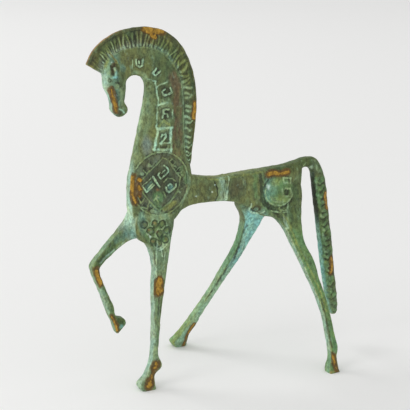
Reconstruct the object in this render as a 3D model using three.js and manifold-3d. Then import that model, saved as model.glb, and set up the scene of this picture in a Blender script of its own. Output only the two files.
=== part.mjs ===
// A small bronze horse cast in one piece, in the manner of an early Greek votive figure.
// Millimetres, +Z up. The horse faces -X, its near side is -Y, and three of its hooves
// stand on z = 0. The origin is under the middle of the whole figure.
import * as THREE from "three";
import Module from "manifold-3d";

const wasm = await Module();
wasm.setup();

const NEAR = -1;
const FAR = 1;

// Driving dimensions of the carving.
const LOCKS = 32; // locks of hair round the crest
const LOCK_DEPTH = 0.45; // how far a lock stands out from the hollow beside it
const PLAITS = 13; // plaits down the tail
const PLAIT_SWELL = 0.12; // share of the tail's thickness by which a plait swells and thins
const GROOVE = 0.9; // width of an engraved line
const GROOVE_FINE = 0.65;
const GROOVE_DEPTH = 0.45;
const BAND = 1.1; // width of a raised strap's edge
const BAND_HEIGHT = 0.35;
const BOSS_HEIGHT = 0.6;
const ROOT = 1.2; // how far a line's solid reaches past the surface, on its wide side

// Small figures in a unit square, which the carving repeats.
const FIGURES = {
  cup: { points: [[-1, 1], [-1, -1], [1, -1], [1, 1]] },
  square: { points: [[-1, -1], [1, -1], [1, 1], [-1, 1]], loop: true },
  key: { points: [[-1, -1], [-1, 1], [1, 1], [1, -0.3], [-0.1, -0.3], [-0.1, 0.4]] },
  crook: { points: [[-1, 0.5], [-0.3, 1], [0.8, 0.7], [0.6, -0.1], [-0.6, -0.4], [-0.6, -1], [1, -1]] },
  hook: { points: [[-0.7, 1], [-1, -0.6], [-0.1, -1], [1, -0.8], [0.9, 0.4], [0, 0.5]] },
};

// The neck's carving: a frame with a border beside it, figures, and short rules between them.
const NECK_FRAME = [[-43.4, 146], [-32.2, 145.4], [-32.2, 133.6], [-43.8, 134.4]];
const NECK_BORDER = [[-41.8, 167.4], [-42.4, 158.8], [-43.4, 146], [-44.6, 132.6], [-31.6, 131.8]];
const NECK_FIGURES = [
  { shape: "cup", x: -52, z: 181.2, width: 4.4, height: 5 },
  { shape: "cup", x: -41.9, z: 175.6, width: 4.2, height: 4.4, turn: -35 },
  { shape: "hook", x: -36, z: 165.8, width: 6.4, height: 7.4 },
  { shape: "key", x: -37.4, z: 153, width: 6, height: 6 },
  { shape: "crook", x: -37.9, z: 140.4, width: 5, height: 7 },
];
const NECK_RULES = [
  [[-56, 177.2], [-55.9, 183.4]],
  [[-41.8, 167.4], [-35.4, 171], [-32.4, 171.6]],
  [[-42.4, 158.8], [-32.2, 158.4], [-32.6, 149]],
  [[-45.9, 145], [-46.6, 134]],
];
const NECK_STUD = { x: -36.8, z: 147.6, radius: 1.9, sides: 3 };

// The breast medallion: an oval rim, a diamond in it, cells between the two, and figures.
const MEDALLION = { x: -40.3, z: 113.8, rx: 16.2, rz: 18.2, sides: 24 };
const DIAMOND = [
  [-37.4, 128.6],
  [-28.2, 115],
  [-40.3, 98.6],
  [-51.6, 117.4],
];
const CELLS = 4; // cells between each side of the diamond and the rim
const MEDALLION_FIGURES = [
  { shape: "cup", x: -38.4, z: 120.6, width: 4.2, height: 6, turn: -52 },
  { shape: "square", x: -47.5, z: 113.7, width: 6, height: 4, turn: 32 },
  { shape: "key", x: -34.2, z: 111.4, width: 5.4, height: 4.6, turn: 20 },
  { shape: "cup", x: -41.6, z: 106, width: 3.8, height: 4, turn: 45 },
];
const MEDALLION_RULE = [[-44.6, 119], [-41.6, 113.6]];

// Rows of three dots over the standing foreleg, the middle one a little lower.
const DOT_RADIUS = 1.6;
const DOT_DROP = 0.8;
const DOT_ROWS = [
  { x: -45.7, z: 92.1, gap: 5.1 },
  { x: -43, z: 87.5, gap: 5 },
  { x: -42.6, z: 82, gap: 3.9 },
];

// The girth straps, each bowed by turns towards the head and the tail.
const STRAPS = [-7, 1, 8.4, 18.4];
const STRAP_BOW = 0.8;
const STRAP_HEIGHTS = [111.8, 107, 102.2];

// The rump's disc and the blocks on it.
const RUMP = { x: 35, z: 102, rx: 8.6, rz: 8.6, sides: 16 };
const BLOCK = { shape: "square", width: 3.4, height: 3.6, turn: 8 };
const RUMP_FIGURES = [
  { ...BLOCK, x: 38.8, z: 108 },
  { ...BLOCK, x: 38.6, z: 100.6 },
  { ...BLOCK, x: 35.4, z: 93.8 },
];

// The head's carving.
const EAR = [[-67.8, 182.4], [-65.4, 179], [-65.4, 175.8], [-67, 174.4], [-68.8, 177], [-69, 180.4]];
const EYE = { x: -65.4, z: 168.9, radius: 1.2 };
const MOUTH = [[-64.4, 157.8], [-60.6, 155.6]];

// The neck, from the poll over the throat and down to the breast. Each station is
// [throat x, throat z, nape x, nape z, middle y, half thickness].
const NECK = [
  [-60.4, 170.2, -67, 181, 0, 3.2],
  [-56.2, 174.2, -59.5, 188.4, 0, 3.1],
  [-52.4, 174.4, -52.2, 190, 0, 2.9],
  [-49.3, 173, -44.6, 189.4, 0, 2.8],
  [-47.6, 170.2, -35.8, 184.9, 0, 2.8],
  [-47.2, 166, -28.6, 175, 0, 2.8],
  [-48.4, 158.4, -25.6, 162, 0, 3],
  [-50.2, 150.4, -24.8, 151, 0, 3.2],
  [-53.4, 136.6, -24, 136.4, 0, 3.7],
  [-55.6, 127.3, -22, 127, 0, 4.1],
  [-57.5, 117.2, -20, 118, 0, 4.4],
  [-58.2, 107.4, -21.2, 107, 0, 4.5],
  [-58, 99.6, -25.4, 98.6, 0, 4.4],
  [-56.7, 92, -31.6, 92, 0, 4],
];

// The crest of hair, from the forelock to the withers. Each station is
// [outer x, outer z, inner x, inner z].
const CREST = [
  [-81, 181.8, -72.6, 176.9],
  [-77.8, 187.9, -71.4, 181.6],
  [-72.3, 193.2, -67.4, 185.4],
  [-63.6, 197.8, -61.6, 188],
  [-53.4, 199.9, -53.6, 189.2],
  [-43.7, 199.6, -46.4, 188.9],
  [-33.4, 196.3, -38.6, 186],
  [-24.1, 187.5, -31.6, 179.4],
  [-17.9, 173.1, -27.2, 171],
  [-16.1, 158.4, -25.6, 158.2],
  [-17, 144.4, -25.4, 144.4],
  [-18.8, 131.4, -25, 131.8],
  [-20.1, 122.2, -24.4, 124.4],
];
const CREST_ROOT = 2.9; // half thickness where the hair leaves the neck
const CREST_EDGE = 1.5; // half thickness just inside the outer edge

// The head, from the poll to the lips: [brow x, z, jaw x, z, middle y, half width].
const HEAD = [
  [-71.4, 185.9, -60, 187, 0, 3.4],
  [-73.6, 180, -58.9, 180, 0, 4.2],
  [-71.6, 174.6, -59, 173.6, 0, 4.7],
  [-71.3, 169.7, -59, 168, 0, 4.5],
  [-68.9, 164.5, -59.7, 163.1, 0, 3.8],
  [-67.9, 160.4, -59.7, 160.2, 0, 3.2],
  [-67.8, 157, -58, 157.2, 0, 3.2],
  [-65.6, 154.2, -58.2, 155.1, 0, 2.9],
  [-63.9, 152.8, -60.8, 153, 0, 1.8],
];

// The barrel, from inside the breast to the croup: [back x, z, belly x, z, middle y, half].
const BARREL = [
  [-32, 117, -30, 96, 0, 4],
  [-19, 116.3, -20, 99.5, 0, 4.4],
  [-11, 114.8, -11, 100, 0, 4.7],
  [-2, 113.8, -2, 99.7, 0, 4.9],
  [9, 114.5, 8.5, 97.8, 0, 5],
  [20, 115.1, 18, 93.2, 0, 5.2],
  [31, 115.6, 28, 87.2, 0, 5.3],
  [41, 116.2, 38, 86.6, 0, 5.3],
  [48.6, 117.5, 46.5, 91, 0, 5],
  [52.2, 117.7, 50.6, 98, 0, 4],
];

// The tail, up from the croup, over and down: [inner x, z, outer x, z, middle y, half].
const TAIL = [
  [43.8, 108.4, 41.1, 114.2, 0, 3.4],
  [50.9, 112.2, 50.3, 118.2, 0, 3.8],
  [55.2, 113.5, 56.3, 119.3, 0, 3.1],
  [58.5, 112.6, 62.5, 118.2, 0, 2.9],
  [60.2, 109.4, 67, 112.1, 0, 2.7],
  [61.3, 100.9, 70.3, 102.1, 0, 2.6],
  [64, 83.6, 72.9, 83.4, 0, 2.6],
  [66.6, 66.1, 75.8, 65.3, 0, 2.6],
  [69.1, 49.7, 77.8, 48.9, 0, 2.5],
  [72, 35.1, 80, 34.3, 0, 2.4],
  [74.4, 24.2, 81.2, 23.5, 0, 2.1],
  [77.5, 18.5, 80.5, 18.8, 0, 1.3],
];

// The legs: [front x, z, back x, z, middle y, half depth], from the body to the sole.
const LEGS = {
  nearFront: [
    [-54.2, 105, -29.6, 105, -0.4, 3.2],
    [-55.8, 93, -32.1, 93, -2.2, 3.8],
    [-54.4, 85, -34.1, 86, -3.2, 3.9],
    [-49.6, 81, -35.4, 81, -3.8, 3.8],
    [-47.4, 76, -36.4, 76.4, -4.4, 3.7],
    [-46.3, 67, -38.4, 67.6, -5.4, 3.4],
    [-47.6, 55, -40.7, 55.6, -6.6, 3.1],
    [-48.2, 42, -43.4, 42.6, -8, 2.8],
    [-49.3, 28, -45.5, 28.6, -9.5, 2.7],
    [-50.5, 18, -46.7, 19, -10.5, 2.7],
    [-52.8, 12, -44.9, 12.2, -11.3, 2.8],
    [-55.6, 7.2, -49.6, 7.8, -12, 2.9],
    [-59.6, 3.2, -50.1, 3.2, -12.7, 3.6],
    [-58.2, 0, -49.8, 0, -13.2, 3.8],
  ],
  farFront: [
    [-54.2, 106, -37, 98.6, 0.6, 3.1],
    [-58.3, 95.8, -44, 85.6, 2.8, 3.5],
    [-62.1, 89.6, -55.8, 83, 3.9, 3.4],
    [-66.8, 84.3, -61, 80.2, 4.7, 3.1],
    [-72.7, 77.5, -66.7, 75.7, 5.6, 3],
    [-78.1, 70.7, -72.8, 69.9, 6.5, 3],
    [-77.7, 65.4, -73.6, 65.2, 7.1, 3],
    [-72.5, 53, -68.7, 53, 8.8, 2.8],
    [-68.9, 43.3, -64.3, 43.6, 10.1, 2.6],
    [-66.9, 38.2, -63.6, 39.5, 10.7, 2.6],
    [-64.8, 34.2, -61.6, 36.4, 11.2, 3],
    [-63.4, 30.5, -57.5, 34.8, 11.6, 3.4],
    [-62.4, 27.3, -56.3, 32.3, 12, 3.2],
    [-61.4, 26.1, -56.8, 30.8, 12.2, 2.5],
  ],
  nearHind: [
    [31.5, 110, 50, 111, -1, 3.6],
    [28.5, 98, 51.7, 99, -2.2, 3.5],
    [30.5, 89, 50.6, 89.4, -3.6, 3.6],
    [37.2, 80.4, 48.9, 80.6, -6.7, 3.5],
    [40.7, 71, 48.8, 71.4, -10.7, 3.1],
    [44.7, 60, 52.7, 60.6, -15.2, 3],
    [47.8, 50, 54, 50.4, -19.4, 2.8],
    [50.7, 40, 55.9, 40.4, -23.6, 2.5],
    [52.4, 30, 56.8, 30.2, -27.8, 2.5],
    [52.4, 20, 57, 20.2, -32, 2.5],
    [52.2, 12.6, 57.5, 13, -35.1, 2.5],
    [51.4, 7.8, 55.4, 8, -37.3, 2.6],
    [48.9, 3.2, 54.8, 3.2, -39.3, 3.2],
    [48, 0, 55.4, 0, -40.4, 3.5],
  ],
  farHind: [
    [11.7, 106, 35.8, 106, 1, 3.9],
    [10.9, 96, 34.3, 96, 2.2, 3.9],
    [15.5, 87, 30, 87, 3.9, 3.9],
    [16.7, 79, 27.4, 79.4, 7.2, 3.7],
    [16.4, 69.6, 24, 70.4, 11.2, 3.5],
    [13.7, 60, 20.7, 60.8, 15.2, 3.3],
    [9.8, 50, 15.8, 50.6, 19.4, 3.1],
    [6.3, 40, 11.3, 40.8, 23.6, 3],
    [1.6, 30, 6.9, 30.8, 27.8, 2.9],
    [-3.5, 20, 2.6, 20.8, 32, 2.9],
    [-7.4, 13, 0.2, 13.8, 34.8, 3],
    [-10.9, 7.6, -2.7, 8.8, 37, 3.4],
    [-13.6, 4, -3.6, 4, 38.5, 3.7],
    [-11, 0, -3.9, 0, 40, 3.7],
  ],
};

// A smooth row through a list of stations, at place t from 0 to 1.
function between(stations, t) {
  const last = stations.length - 1;
  const place = Math.min(Math.max(t, 0), 1) * last;
  const i = Math.min(Math.floor(place), last - 1);
  const u = place - i;
  const near = [i - 1, i, i + 1, i + 2].map((k) => stations[Math.min(Math.max(k, 0), last)]);
  const [a, b, c, d] = near;
  return b.map((from, k) => {
    const slopeFrom = (c[k] - a[k]) / 2;
    const slopeTo = (d[k] - from) / 2;
    const rise = c[k] - from;
    const bend = 3 * rise - 2 * slopeFrom - slopeTo;
    const twist = slopeFrom + slopeTo - 2 * rise;
    return from + u * (slopeFrom + u * (bend + u * twist));
  });
}

// A closed skin over rings of equal count: a flat fan over each end, or, on a loop, the last
// ring joined to the first.
function skin(rings, loop = false) {
  const count = rings[0].length;
  const points = rings.flat();
  const faces = [];
  const steps = loop ? rings.length : rings.length - 1;
  for (let r = 0; r < steps; r++) {
    const [here, there] = [r * count, ((r + 1) % rings.length) * count];
    for (let k = 0; k < count; k++) {
      const next = (k + 1) % count;
      faces.push(here + k, there + k, here + next, here + next, there + k, there + next);
    }
  }
  if (loop) return { points, faces };
  const middle = (ring) => ring.reduce((sum, p) => sum.map((v, k) => v + p[k] / count), [0, 0, 0]);
  const end = (rings.length - 1) * count;
  points.push(middle(rings[0]), middle(rings.at(-1)));
  for (let k = 0; k < count; k++) {
    const next = (k + 1) % count;
    faces.push(end + count, k, next, end + count + 1, end + next, end + k);
  }
  return { points, faces };
}

// The skin as a solid, whichever way round its rings run.
function solid({ points, faces }) {
  const make = (order) =>
    new wasm.Manifold(
      new wasm.Mesh({
        numProp: 3,
        vertProperties: new Float32Array(points.flat()),
        triVerts: new Uint32Array(order),
      }),
    );
  const made = make(faces);
  if (made.volume() > 0) return made;
  const turned = [];
  for (let i = 0; i < faces.length; i += 3) turned.push(faces[i], faces[i + 2], faces[i + 1]);
  return make(turned);
}

// A point of a squarish round section: cosine and sine pulled out towards the corners.
function squarish(angle, sharpness) {
  const pull = (v) => Math.sign(v) * Math.abs(v) ** (2 / sharpness);
  return [pull(Math.cos(angle)), pull(Math.sin(angle))];
}

// A limb through its stations: each ring lies across the front and back edges.
function limb(stations, { rings, sides, sharpness, shape = (u, v) => [u, v] }) {
  const hoops = [];
  for (let r = 0; r < rings; r++) {
    const t = r / (rings - 1);
    const [fx, fz, bx, bz, y, half] = between(stations, t);
    const ring = [];
    for (let k = 0; k < sides; k++) {
      const [u, v] = shape(...squarish(((k + 0.5) / sides) * 2 * Math.PI, sharpness), t);
      ring.push([
        (fx + bx) / 2 + (u * (fx - bx)) / 2,
        y + v * half,
        (fz + bz) / 2 + (u * (fz - bz)) / 2,
      ]);
    }
    hoops.push(ring);
  }
  return solid(skin(hoops));
}

// The crest: thick at the neck, thin at the edge, fluted into locks that lean back a little.
function crest() {
  const steps = LOCKS * 2;
  const lean = 0.012;
  const sunk = -0.2; // the root, inside the neck
  const foot = 0.12; // where the locks begin
  const brink = 0.93; // where the outer edge rounds off
  const edgeShare = 0.6; // how deep a lock still is there
  const hoops = [];
  for (let r = 0; r <= steps; r++) {
    const t = r / steps;
    const outer = between(CREST, Math.min(1, t + lean * Math.sin(Math.PI * t)));
    const inner = between(CREST, t);
    const flute = r % 2 ? 0 : LOCK_DEPTH;
    const root = CREST_ROOT - flute;
    const edge = CREST_EDGE - flute * edgeShare;
    const at = (share, half) => [
      inner[2] + (outer[0] - inner[2]) * share,
      half,
      inner[3] + (outer[1] - inner[3]) * share,
    ];
    hoops.push([
      at(sunk, -CREST_ROOT),
      at(foot, -root),
      at(brink, -edge),
      at(1, 0),
      at(brink, edge),
      at(foot, root),
      at(sunk, CREST_ROOT),
    ]);
  }
  return solid(skin(hoops));
}

// The tail's plaits swell by turns on its front and back halves.
function plaited(u, v, t) {
  const start = 0.34; // below the bend
  const fade = 0.08;
  const along = Math.min(1, Math.max(0, (t - start) / fade));
  const wave = Math.sin(2 * Math.PI * PLAITS * t + (u > 0 ? Math.PI : 0));
  return [u, v * (1 + along * wave * PLAIT_SWELL)];
}

// The bare casting, before its surface is carved.
function casting() {
  let body = limb(NECK, { rings: 18, sides: 12, sharpness: 3 });
  const pieces = [
    limb(HEAD, { rings: 11, sides: 10, sharpness: 2.6 }),
    limb(BARREL, { rings: 12, sides: 12, sharpness: 3 }),
    limb(TAIL, { rings: PLAITS * 3 + 4, sides: 8, sharpness: 3.4, shape: plaited }),
    crest(),
  ];
  Object.values(LEGS).forEach((stations) => {
    pieces.push(limb(stations, { rings: 15, sides: 8, sharpness: 4 }));
  });
  pieces.forEach((piece) => {
    body = body.add(piece);
  });
  return body;
}

function geometryOf(body) {
  const mesh = body.getMesh();
  const geometry = new THREE.BufferGeometry();
  geometry.setAttribute("position", new THREE.BufferAttribute(mesh.vertProperties, 3));
  geometry.setIndex(new THREE.BufferAttribute(mesh.triVerts, 1));
  return geometry;
}

const bare = casting();
const caster = new THREE.Raycaster();
const target = new THREE.Mesh(geometryOf(bare), new THREE.MeshBasicMaterial());

// How far out the body's surface is at (x, z) on one side, or its middle where there is none.
function surface(x, z, side) {
  const reach = 100;
  caster.set(new THREE.Vector3(x, side * reach, z), new THREE.Vector3(0, -side, 0));
  const [hit] = caster.intersectObject(target);
  return hit ? hit.point.y : 0;
}

// A line of the carving along points [x, z] of one side: cut in if its rise is below zero,
// and standing out if it is above. It is widest at the body's surface.
function line(points, side, { loop = false, width = GROOVE, rise = -GROOVE_DEPTH } = {}) {
  const foot = 0.5;
  const top = 0.3;
  const root = -Math.sign(rise) * ROOT;
  const count = points.length;
  const rings = points.map(([x, z], i) => {
    const before = points[loop ? (i + count - 1) % count : Math.max(i - 1, 0)];
    const after = points[loop ? (i + 1) % count : Math.min(i + 1, count - 1)];
    const unit = (a, b) => {
      const length = Math.hypot(b[0] - a[0], b[1] - a[1]) || 1;
      return [(b[0] - a[0]) / length, (b[1] - a[1]) / length];
    };
    const [inX, inZ] = before === points[i] ? unit(points[i], after) : unit(before, points[i]);
    const [outX, outZ] = after === points[i] ? [inX, inZ] : unit(points[i], after);
    const mitre = 1 + inX * outX + inZ * outZ;
    const across = [-(inZ + outZ) / mitre, (inX + outX) / mitre];
    const y = surface(x, z, side);
    const corner = (share, lift) => [
      x + across[0] * width * share,
      y + side * lift,
      z + across[1] * width * share,
    ];
    return [corner(-foot, root), corner(-top, rise), corner(top, rise), corner(foot, root)];
  });
  return { shape: solid(skin(rings, loop)), cut: rise < 0 };
}

// A low boss of round or few-sided outline, which stands out.
function boss({ x, z, radius, sides = 7 }, side) {
  const taper = 0.85;
  const y = surface(x, z, side);
  const ring = (r, lift) =>
    Array.from({ length: sides }, (_, k) => {
      const angle = ((k + 0.5) / sides) * 2 * Math.PI;
      return [x + r * Math.cos(angle), y + side * lift, z + r * Math.sin(angle)];
    });
  return { shape: solid(skin([ring(radius, -ROOT), ring(radius * taper, BOSS_HEIGHT)])), cut: false };
}

// An oval of [x, z] points.
function oval({ x, z, rx, rz, sides }) {
  return Array.from({ length: sides }, (_, k) => {
    const angle = (k / sides) * 2 * Math.PI;
    return [x + rx * Math.cos(angle), z + rz * Math.sin(angle)];
  });
}

// A small figure of its own size, turned by degrees and put at (x, z).
function figure({ shape, x, z, width, height, turn = 0 }, side) {
  const angle = (turn * Math.PI) / 180;
  const { points, loop } = FIGURES[shape];
  const placed = points.map(([u, v]) => [
    x + (u * width * Math.cos(angle) - v * height * Math.sin(angle)) / 2,
    z + (u * width * Math.sin(angle) + v * height * Math.cos(angle)) / 2,
  ]);
  return line(placed, side, { loop });
}

// The key figures and frames that run down the neck.
function neckPanels(side) {
  const frames = [line(NECK_FRAME, side, { loop: true }), line(NECK_BORDER, side)];
  if (side === FAR) return frames;
  return [
    ...frames,
    ...NECK_FIGURES.map((one) => figure(one, side)),
    ...NECK_RULES.map((points) => line(points, side)),
    boss(NECK_STUD, side),
  ];
}

// The bars that part the cells round the medallion's diamond. Each ends just inside the rim.
function cellBars(side) {
  const reach = 0.97;
  return DIAMOND.flatMap(([x, z], k) => {
    const [nextX, nextZ] = DIAMOND[(k + 1) % DIAMOND.length];
    return Array.from({ length: CELLS - 1 }, (_, i) => {
      const share = (i + 1) / CELLS;
      const foot = [x + (nextX - x) * share, z + (nextZ - z) * share];
      const across = (foot[0] - MEDALLION.x) / MEDALLION.rx;
      const up = (foot[1] - MEDALLION.z) / MEDALLION.rz;
      const angle = Math.atan2(up, across);
      const end = [
        MEDALLION.x + MEDALLION.rx * Math.cos(angle) * reach,
        MEDALLION.z + MEDALLION.rz * Math.sin(angle) * reach,
      ];
      return line([foot, end], side, { width: GROOVE_FINE });
    });
  });
}

function medallion(side) {
  const rim = line(oval(MEDALLION), side, { loop: true });
  const diamond = line(DIAMOND, side, { loop: true });
  if (side === FAR) return [rim, diamond];
  return [
    rim,
    diamond,
    ...cellBars(side),
    ...MEDALLION_FIGURES.map((one) => figure(one, side)),
    line(MEDALLION_RULE, side),
  ];
}

function dots(side) {
  return DOT_ROWS.flatMap(({ x, z, gap }) =>
    [-1, 0, 1].map((place) => {
      const drop = place === 0 ? DOT_DROP : 0;
      return boss({ x: x + place * gap, z: z - drop, radius: DOT_RADIUS }, side);
    }),
  );
}

function straps(side) {
  return STRAPS.map((x, i) => {
    const bow = i % 2 ? STRAP_BOW : -STRAP_BOW;
    const points = STRAP_HEIGHTS.map((z, k) => [x + (k === 1 ? bow : 0), z]);
    return line(points, side, { width: BAND, rise: BAND_HEIGHT });
  });
}

function rump(side) {
  const disc = line(oval(RUMP), side, { loop: true });
  if (side === FAR) return [disc];
  return [disc, ...RUMP_FIGURES.map((one) => figure(one, side))];
}

function face(side) {
  return [
    line(EAR, side, { loop: true, width: GROOVE_FINE }),
    boss(EYE, side),
    line(MOUTH, side, { width: GROOVE_FINE }),
  ];
}

let whole = bare;
[NEAR, FAR].forEach((side) => {
  const carving = [neckPanels, medallion, dots, straps, rump, face].flatMap((part) => part(side));
  carving.forEach(({ shape, cut }) => {
    whole = cut ? whole.subtract(shape) : whole.add(shape);
  });
});

const horse = new THREE.Mesh(
  geometryOf(whole),
  new THREE.MeshStandardMaterial({ color: 0x5f6f50, roughness: 0.6, metalness: 0.5 }),
);
horse.name = "horse";

const group = new THREE.Group();
group.add(horse);
export default group;
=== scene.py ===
import math

import bpy
import numpy as np
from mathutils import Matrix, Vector
from mathutils.kdtree import KDTree


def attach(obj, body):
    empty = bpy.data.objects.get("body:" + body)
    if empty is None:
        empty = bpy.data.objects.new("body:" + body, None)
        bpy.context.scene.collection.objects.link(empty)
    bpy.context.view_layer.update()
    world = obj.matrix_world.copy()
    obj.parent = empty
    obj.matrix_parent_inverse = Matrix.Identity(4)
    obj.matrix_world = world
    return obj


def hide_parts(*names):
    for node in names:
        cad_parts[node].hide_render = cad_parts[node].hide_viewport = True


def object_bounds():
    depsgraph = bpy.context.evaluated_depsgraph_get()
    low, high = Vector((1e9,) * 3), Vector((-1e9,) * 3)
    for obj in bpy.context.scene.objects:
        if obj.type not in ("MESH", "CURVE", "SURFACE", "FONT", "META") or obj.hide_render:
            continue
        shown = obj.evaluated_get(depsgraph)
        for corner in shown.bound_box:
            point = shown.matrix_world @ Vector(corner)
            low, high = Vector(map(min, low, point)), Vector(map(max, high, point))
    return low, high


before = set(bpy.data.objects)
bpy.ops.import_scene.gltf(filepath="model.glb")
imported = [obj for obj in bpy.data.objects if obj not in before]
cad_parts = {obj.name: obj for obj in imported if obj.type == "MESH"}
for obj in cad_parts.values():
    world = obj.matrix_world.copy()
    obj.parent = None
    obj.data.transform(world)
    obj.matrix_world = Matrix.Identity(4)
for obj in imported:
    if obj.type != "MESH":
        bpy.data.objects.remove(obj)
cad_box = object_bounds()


# The trunk: the flat neck and the thin barrel of a small bronze horse cast in one piece. Every
# part of the casting starts as a limb swept through stations, in millimetres, with +Z up. The
# horse faces -X and its near side is -Y.

NEAR = -1
FAR = 1

# Each station is [throat or back x, z, nape or belly x, z, middle y, half thickness].
NECK = [
    [-60.4, 170.2, -67, 181, 0, 3.2],
    [-56.2, 174.2, -59.5, 188.4, 0, 3.1],
    [-52.4, 174.4, -52.2, 190, 0, 2.9],
    [-49.3, 173, -44.6, 189.4, 0, 2.8],
    [-47.6, 170.2, -35.8, 184.9, 0, 2.8],
    [-47.2, 166, -28.6, 175, 0, 2.8],
    [-48.4, 158.4, -25.6, 162, 0, 3],
    [-50.2, 150.4, -24.8, 151, 0, 3.2],
    [-53.4, 136.6, -24, 136.4, 0, 3.7],
    [-55.6, 127.3, -22, 127, 0, 4.1],
    [-57.5, 117.2, -20, 118, 0, 4.4],
    [-58.2, 107.4, -21.2, 107, 0, 4.5],
    [-58, 99.6, -25.4, 98.6, 0, 4.4],
    [-56.7, 92, -31.6, 92, 0, 4],
]
BARREL = [
    [-32, 117, -30, 96, 0, 4],
    [-19, 116.3, -20, 99.5, 0, 4.4],
    [-11, 114.8, -11, 100, 0, 4.7],
    [-2, 113.8, -2, 99.7, 0, 4.9],
    [9, 114.5, 8.5, 97.8, 0, 5],
    [20, 115.1, 18, 93.2, 0, 5.2],
    [31, 115.6, 28, 87.2, 0, 5.3],
    [41, 116.2, 38, 86.6, 0, 5.3],
    [48.6, 117.5, 46.5, 91, 0, 5],
    [52.2, 117.7, 50.6, 98, 0, 4],
]
TRUNK_SHARPNESS = 5  # how square a section is, where 2 is an ellipse


def between(stations, places):
    """Smooth rows through a list of stations, at places from 0 to 1."""
    rows = np.array(stations, float)
    last = len(rows) - 1
    place = np.clip(places, 0, 1) * last
    i = np.minimum(place.astype(int), last - 1)
    u = (place - i)[:, None]
    before, here, there, after = (rows[np.clip(i + step, 0, last)] for step in (-1, 0, 1, 2))
    leaving = (there - before) / 2
    arriving = (after - here) / 2
    rise = there - here
    bend = 3 * rise - 2 * leaving - arriving
    twist = leaving + arriving - 2 * rise
    return here + u * (leaving + u * (bend + u * twist))


def skin(rings):
    """A closed skin over rings of equal count, with a fan over each end."""
    count, sides = rings.shape[:2]
    points = np.concatenate([rings.reshape(-1, 3), [rings[0].mean(0), rings[-1].mean(0)]])
    faces = []
    for r in range(count - 1):
        for k in range(sides):
            a = r * sides + k
            b = r * sides + (k + 1) % sides
            faces.append((a, a + sides, b + sides, b))
    first = count * sides
    end = first - sides
    for k in range(sides):
        following = (k + 1) % sides
        faces.append((first, k, following))
        faces.append((first + 1, end + following, end + k))
    return points, faces


def limb(stations, sharpness, rings=150, sides=36):
    """A limb of squarish round section through its stations."""
    rows = between(stations, np.linspace(0, 1, rings))
    angle = (np.arange(sides) + 0.5) / sides * 2 * np.pi
    u, v = (np.sign(w) * np.abs(w) ** (2 / sharpness) for w in (np.cos(angle), np.sin(angle)))
    middle = (rows[:, 0:2] + rows[:, 2:4]) / 2
    arm = (rows[:, 0:2] - rows[:, 2:4]) / 2
    across = middle[:, None, :] + u[None, :, None] * arm[:, None, :]
    y = rows[:, 4:5] + v[None, :] * rows[:, 5:6]
    return skin(np.dstack([across[:, :, 0], y, across[:, :, 1]]))


shells = [limb(stations, TRUNK_SHARPNESS) for stations in (NECK, BARREL)]


# The crest: a thin fan of hair from the forelock over the poll to the withers, thick where it
# leaves the neck and thin at its smooth outer rim. Each station is [outer x, z, inner x, z].
CREST = [
    [-81, 181.8, -72.6, 176.9],
    [-77.8, 187.9, -71.4, 181.6],
    [-72.3, 193.2, -67.4, 185.4],
    [-63.6, 197.8, -61.6, 188],
    [-53.4, 199.9, -53.6, 189.2],
    [-43.7, 199.6, -46.4, 188.9],
    [-33.4, 196.3, -38.6, 186],
    [-24.1, 187.5, -31.6, 179.4],
    [-17.9, 173.1, -27.2, 171],
    [-16.1, 158.4, -25.6, 158.2],
    [-17, 144.4, -25.4, 144.4],
    [-18.8, 131.4, -25, 131.8],
    [-20.1, 122.2, -24.4, 124.4],
]
# How thick the crest is, as [share of the way out, half thickness].
CREST_SECTION = [[-0.2, 2.7], [0.1, 2.6], [0.5, 2.1], [0.86, 1.5], [0.97, 1.1], [1, 0.5]]
CREST_RINGS = 260

crest_rows = between(CREST, np.linspace(0, 1, CREST_RINGS))
crest_rings = []
for outer_x, outer_z, inner_x, inner_z in crest_rows:
    edge = [
        [inner_x + (outer_x - inner_x) * share, side * half, inner_z + (outer_z - inner_z) * share]
        for side, row in ((NEAR, CREST_SECTION), (FAR, CREST_SECTION[::-1]))
        for share, half in row
    ]
    crest_rings.append(edge)
shells.append(skin(np.array(crest_rings)))


# The head: a narrow wedge with a flat front, round cheeks, heavy brows and a small bulging
# muzzle. Each station is [brow x, z, jaw x, z, middle y, half width].
HEAD = [
    [-71.4, 185.9, -60, 187, 0, 3.4],
    [-73.6, 180, -58.9, 180, 0, 4.2],
    [-71.6, 174.6, -59, 173.6, 0, 4.7],
    [-71.3, 169.7, -59, 168, 0, 4.5],
    [-68.9, 164.5, -59.7, 163.1, 0, 3.8],
    [-67.9, 160.4, -59.7, 160.2, 0, 3.2],
    [-67.8, 157, -58, 157.2, 0, 3.2],
    [-65.6, 154.2, -58.2, 155.1, 0, 2.9],
    [-63.9, 152.8, -60.8, 153, 0, 1.8],
]
HEAD_SHARPNESS = 2.8
# The cheeks, the muzzle and the brow over each eye, each as [middle, radii].
SWELLINGS = [
    [[-63.4, 0, 170.4], [3.6, 4.7, 4.4]],
    [[-62.4, 0, 156.3], [3.2, 3.1, 2.6]],
    [[-69.4, NEAR * 3.3, 173.4], [1.5, 1.3, 1.9]],
    [[-69.4, FAR * 3.3, 173.4], [1.5, 1.3, 1.9]],
]


def ball(middle, radii, rings=14, sides=20):
    """A round swelling in the casting."""
    polar = np.linspace(0.05, np.pi - 0.05, rings)[:, None]
    turn = (np.arange(sides) / sides * 2 * np.pi)[None, :]
    unit = np.dstack([
        np.sin(polar) * np.cos(turn),
        np.sin(polar) * np.sin(turn),
        np.cos(polar) + 0 * turn,
    ])
    return skin(np.array(middle, float) + unit * np.array(radii, float))


shells.append(limb(HEAD, HEAD_SHARPNESS, sides=28))
for middle, radii in SWELLINGS:
    shells.append(ball(middle, radii))


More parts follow.
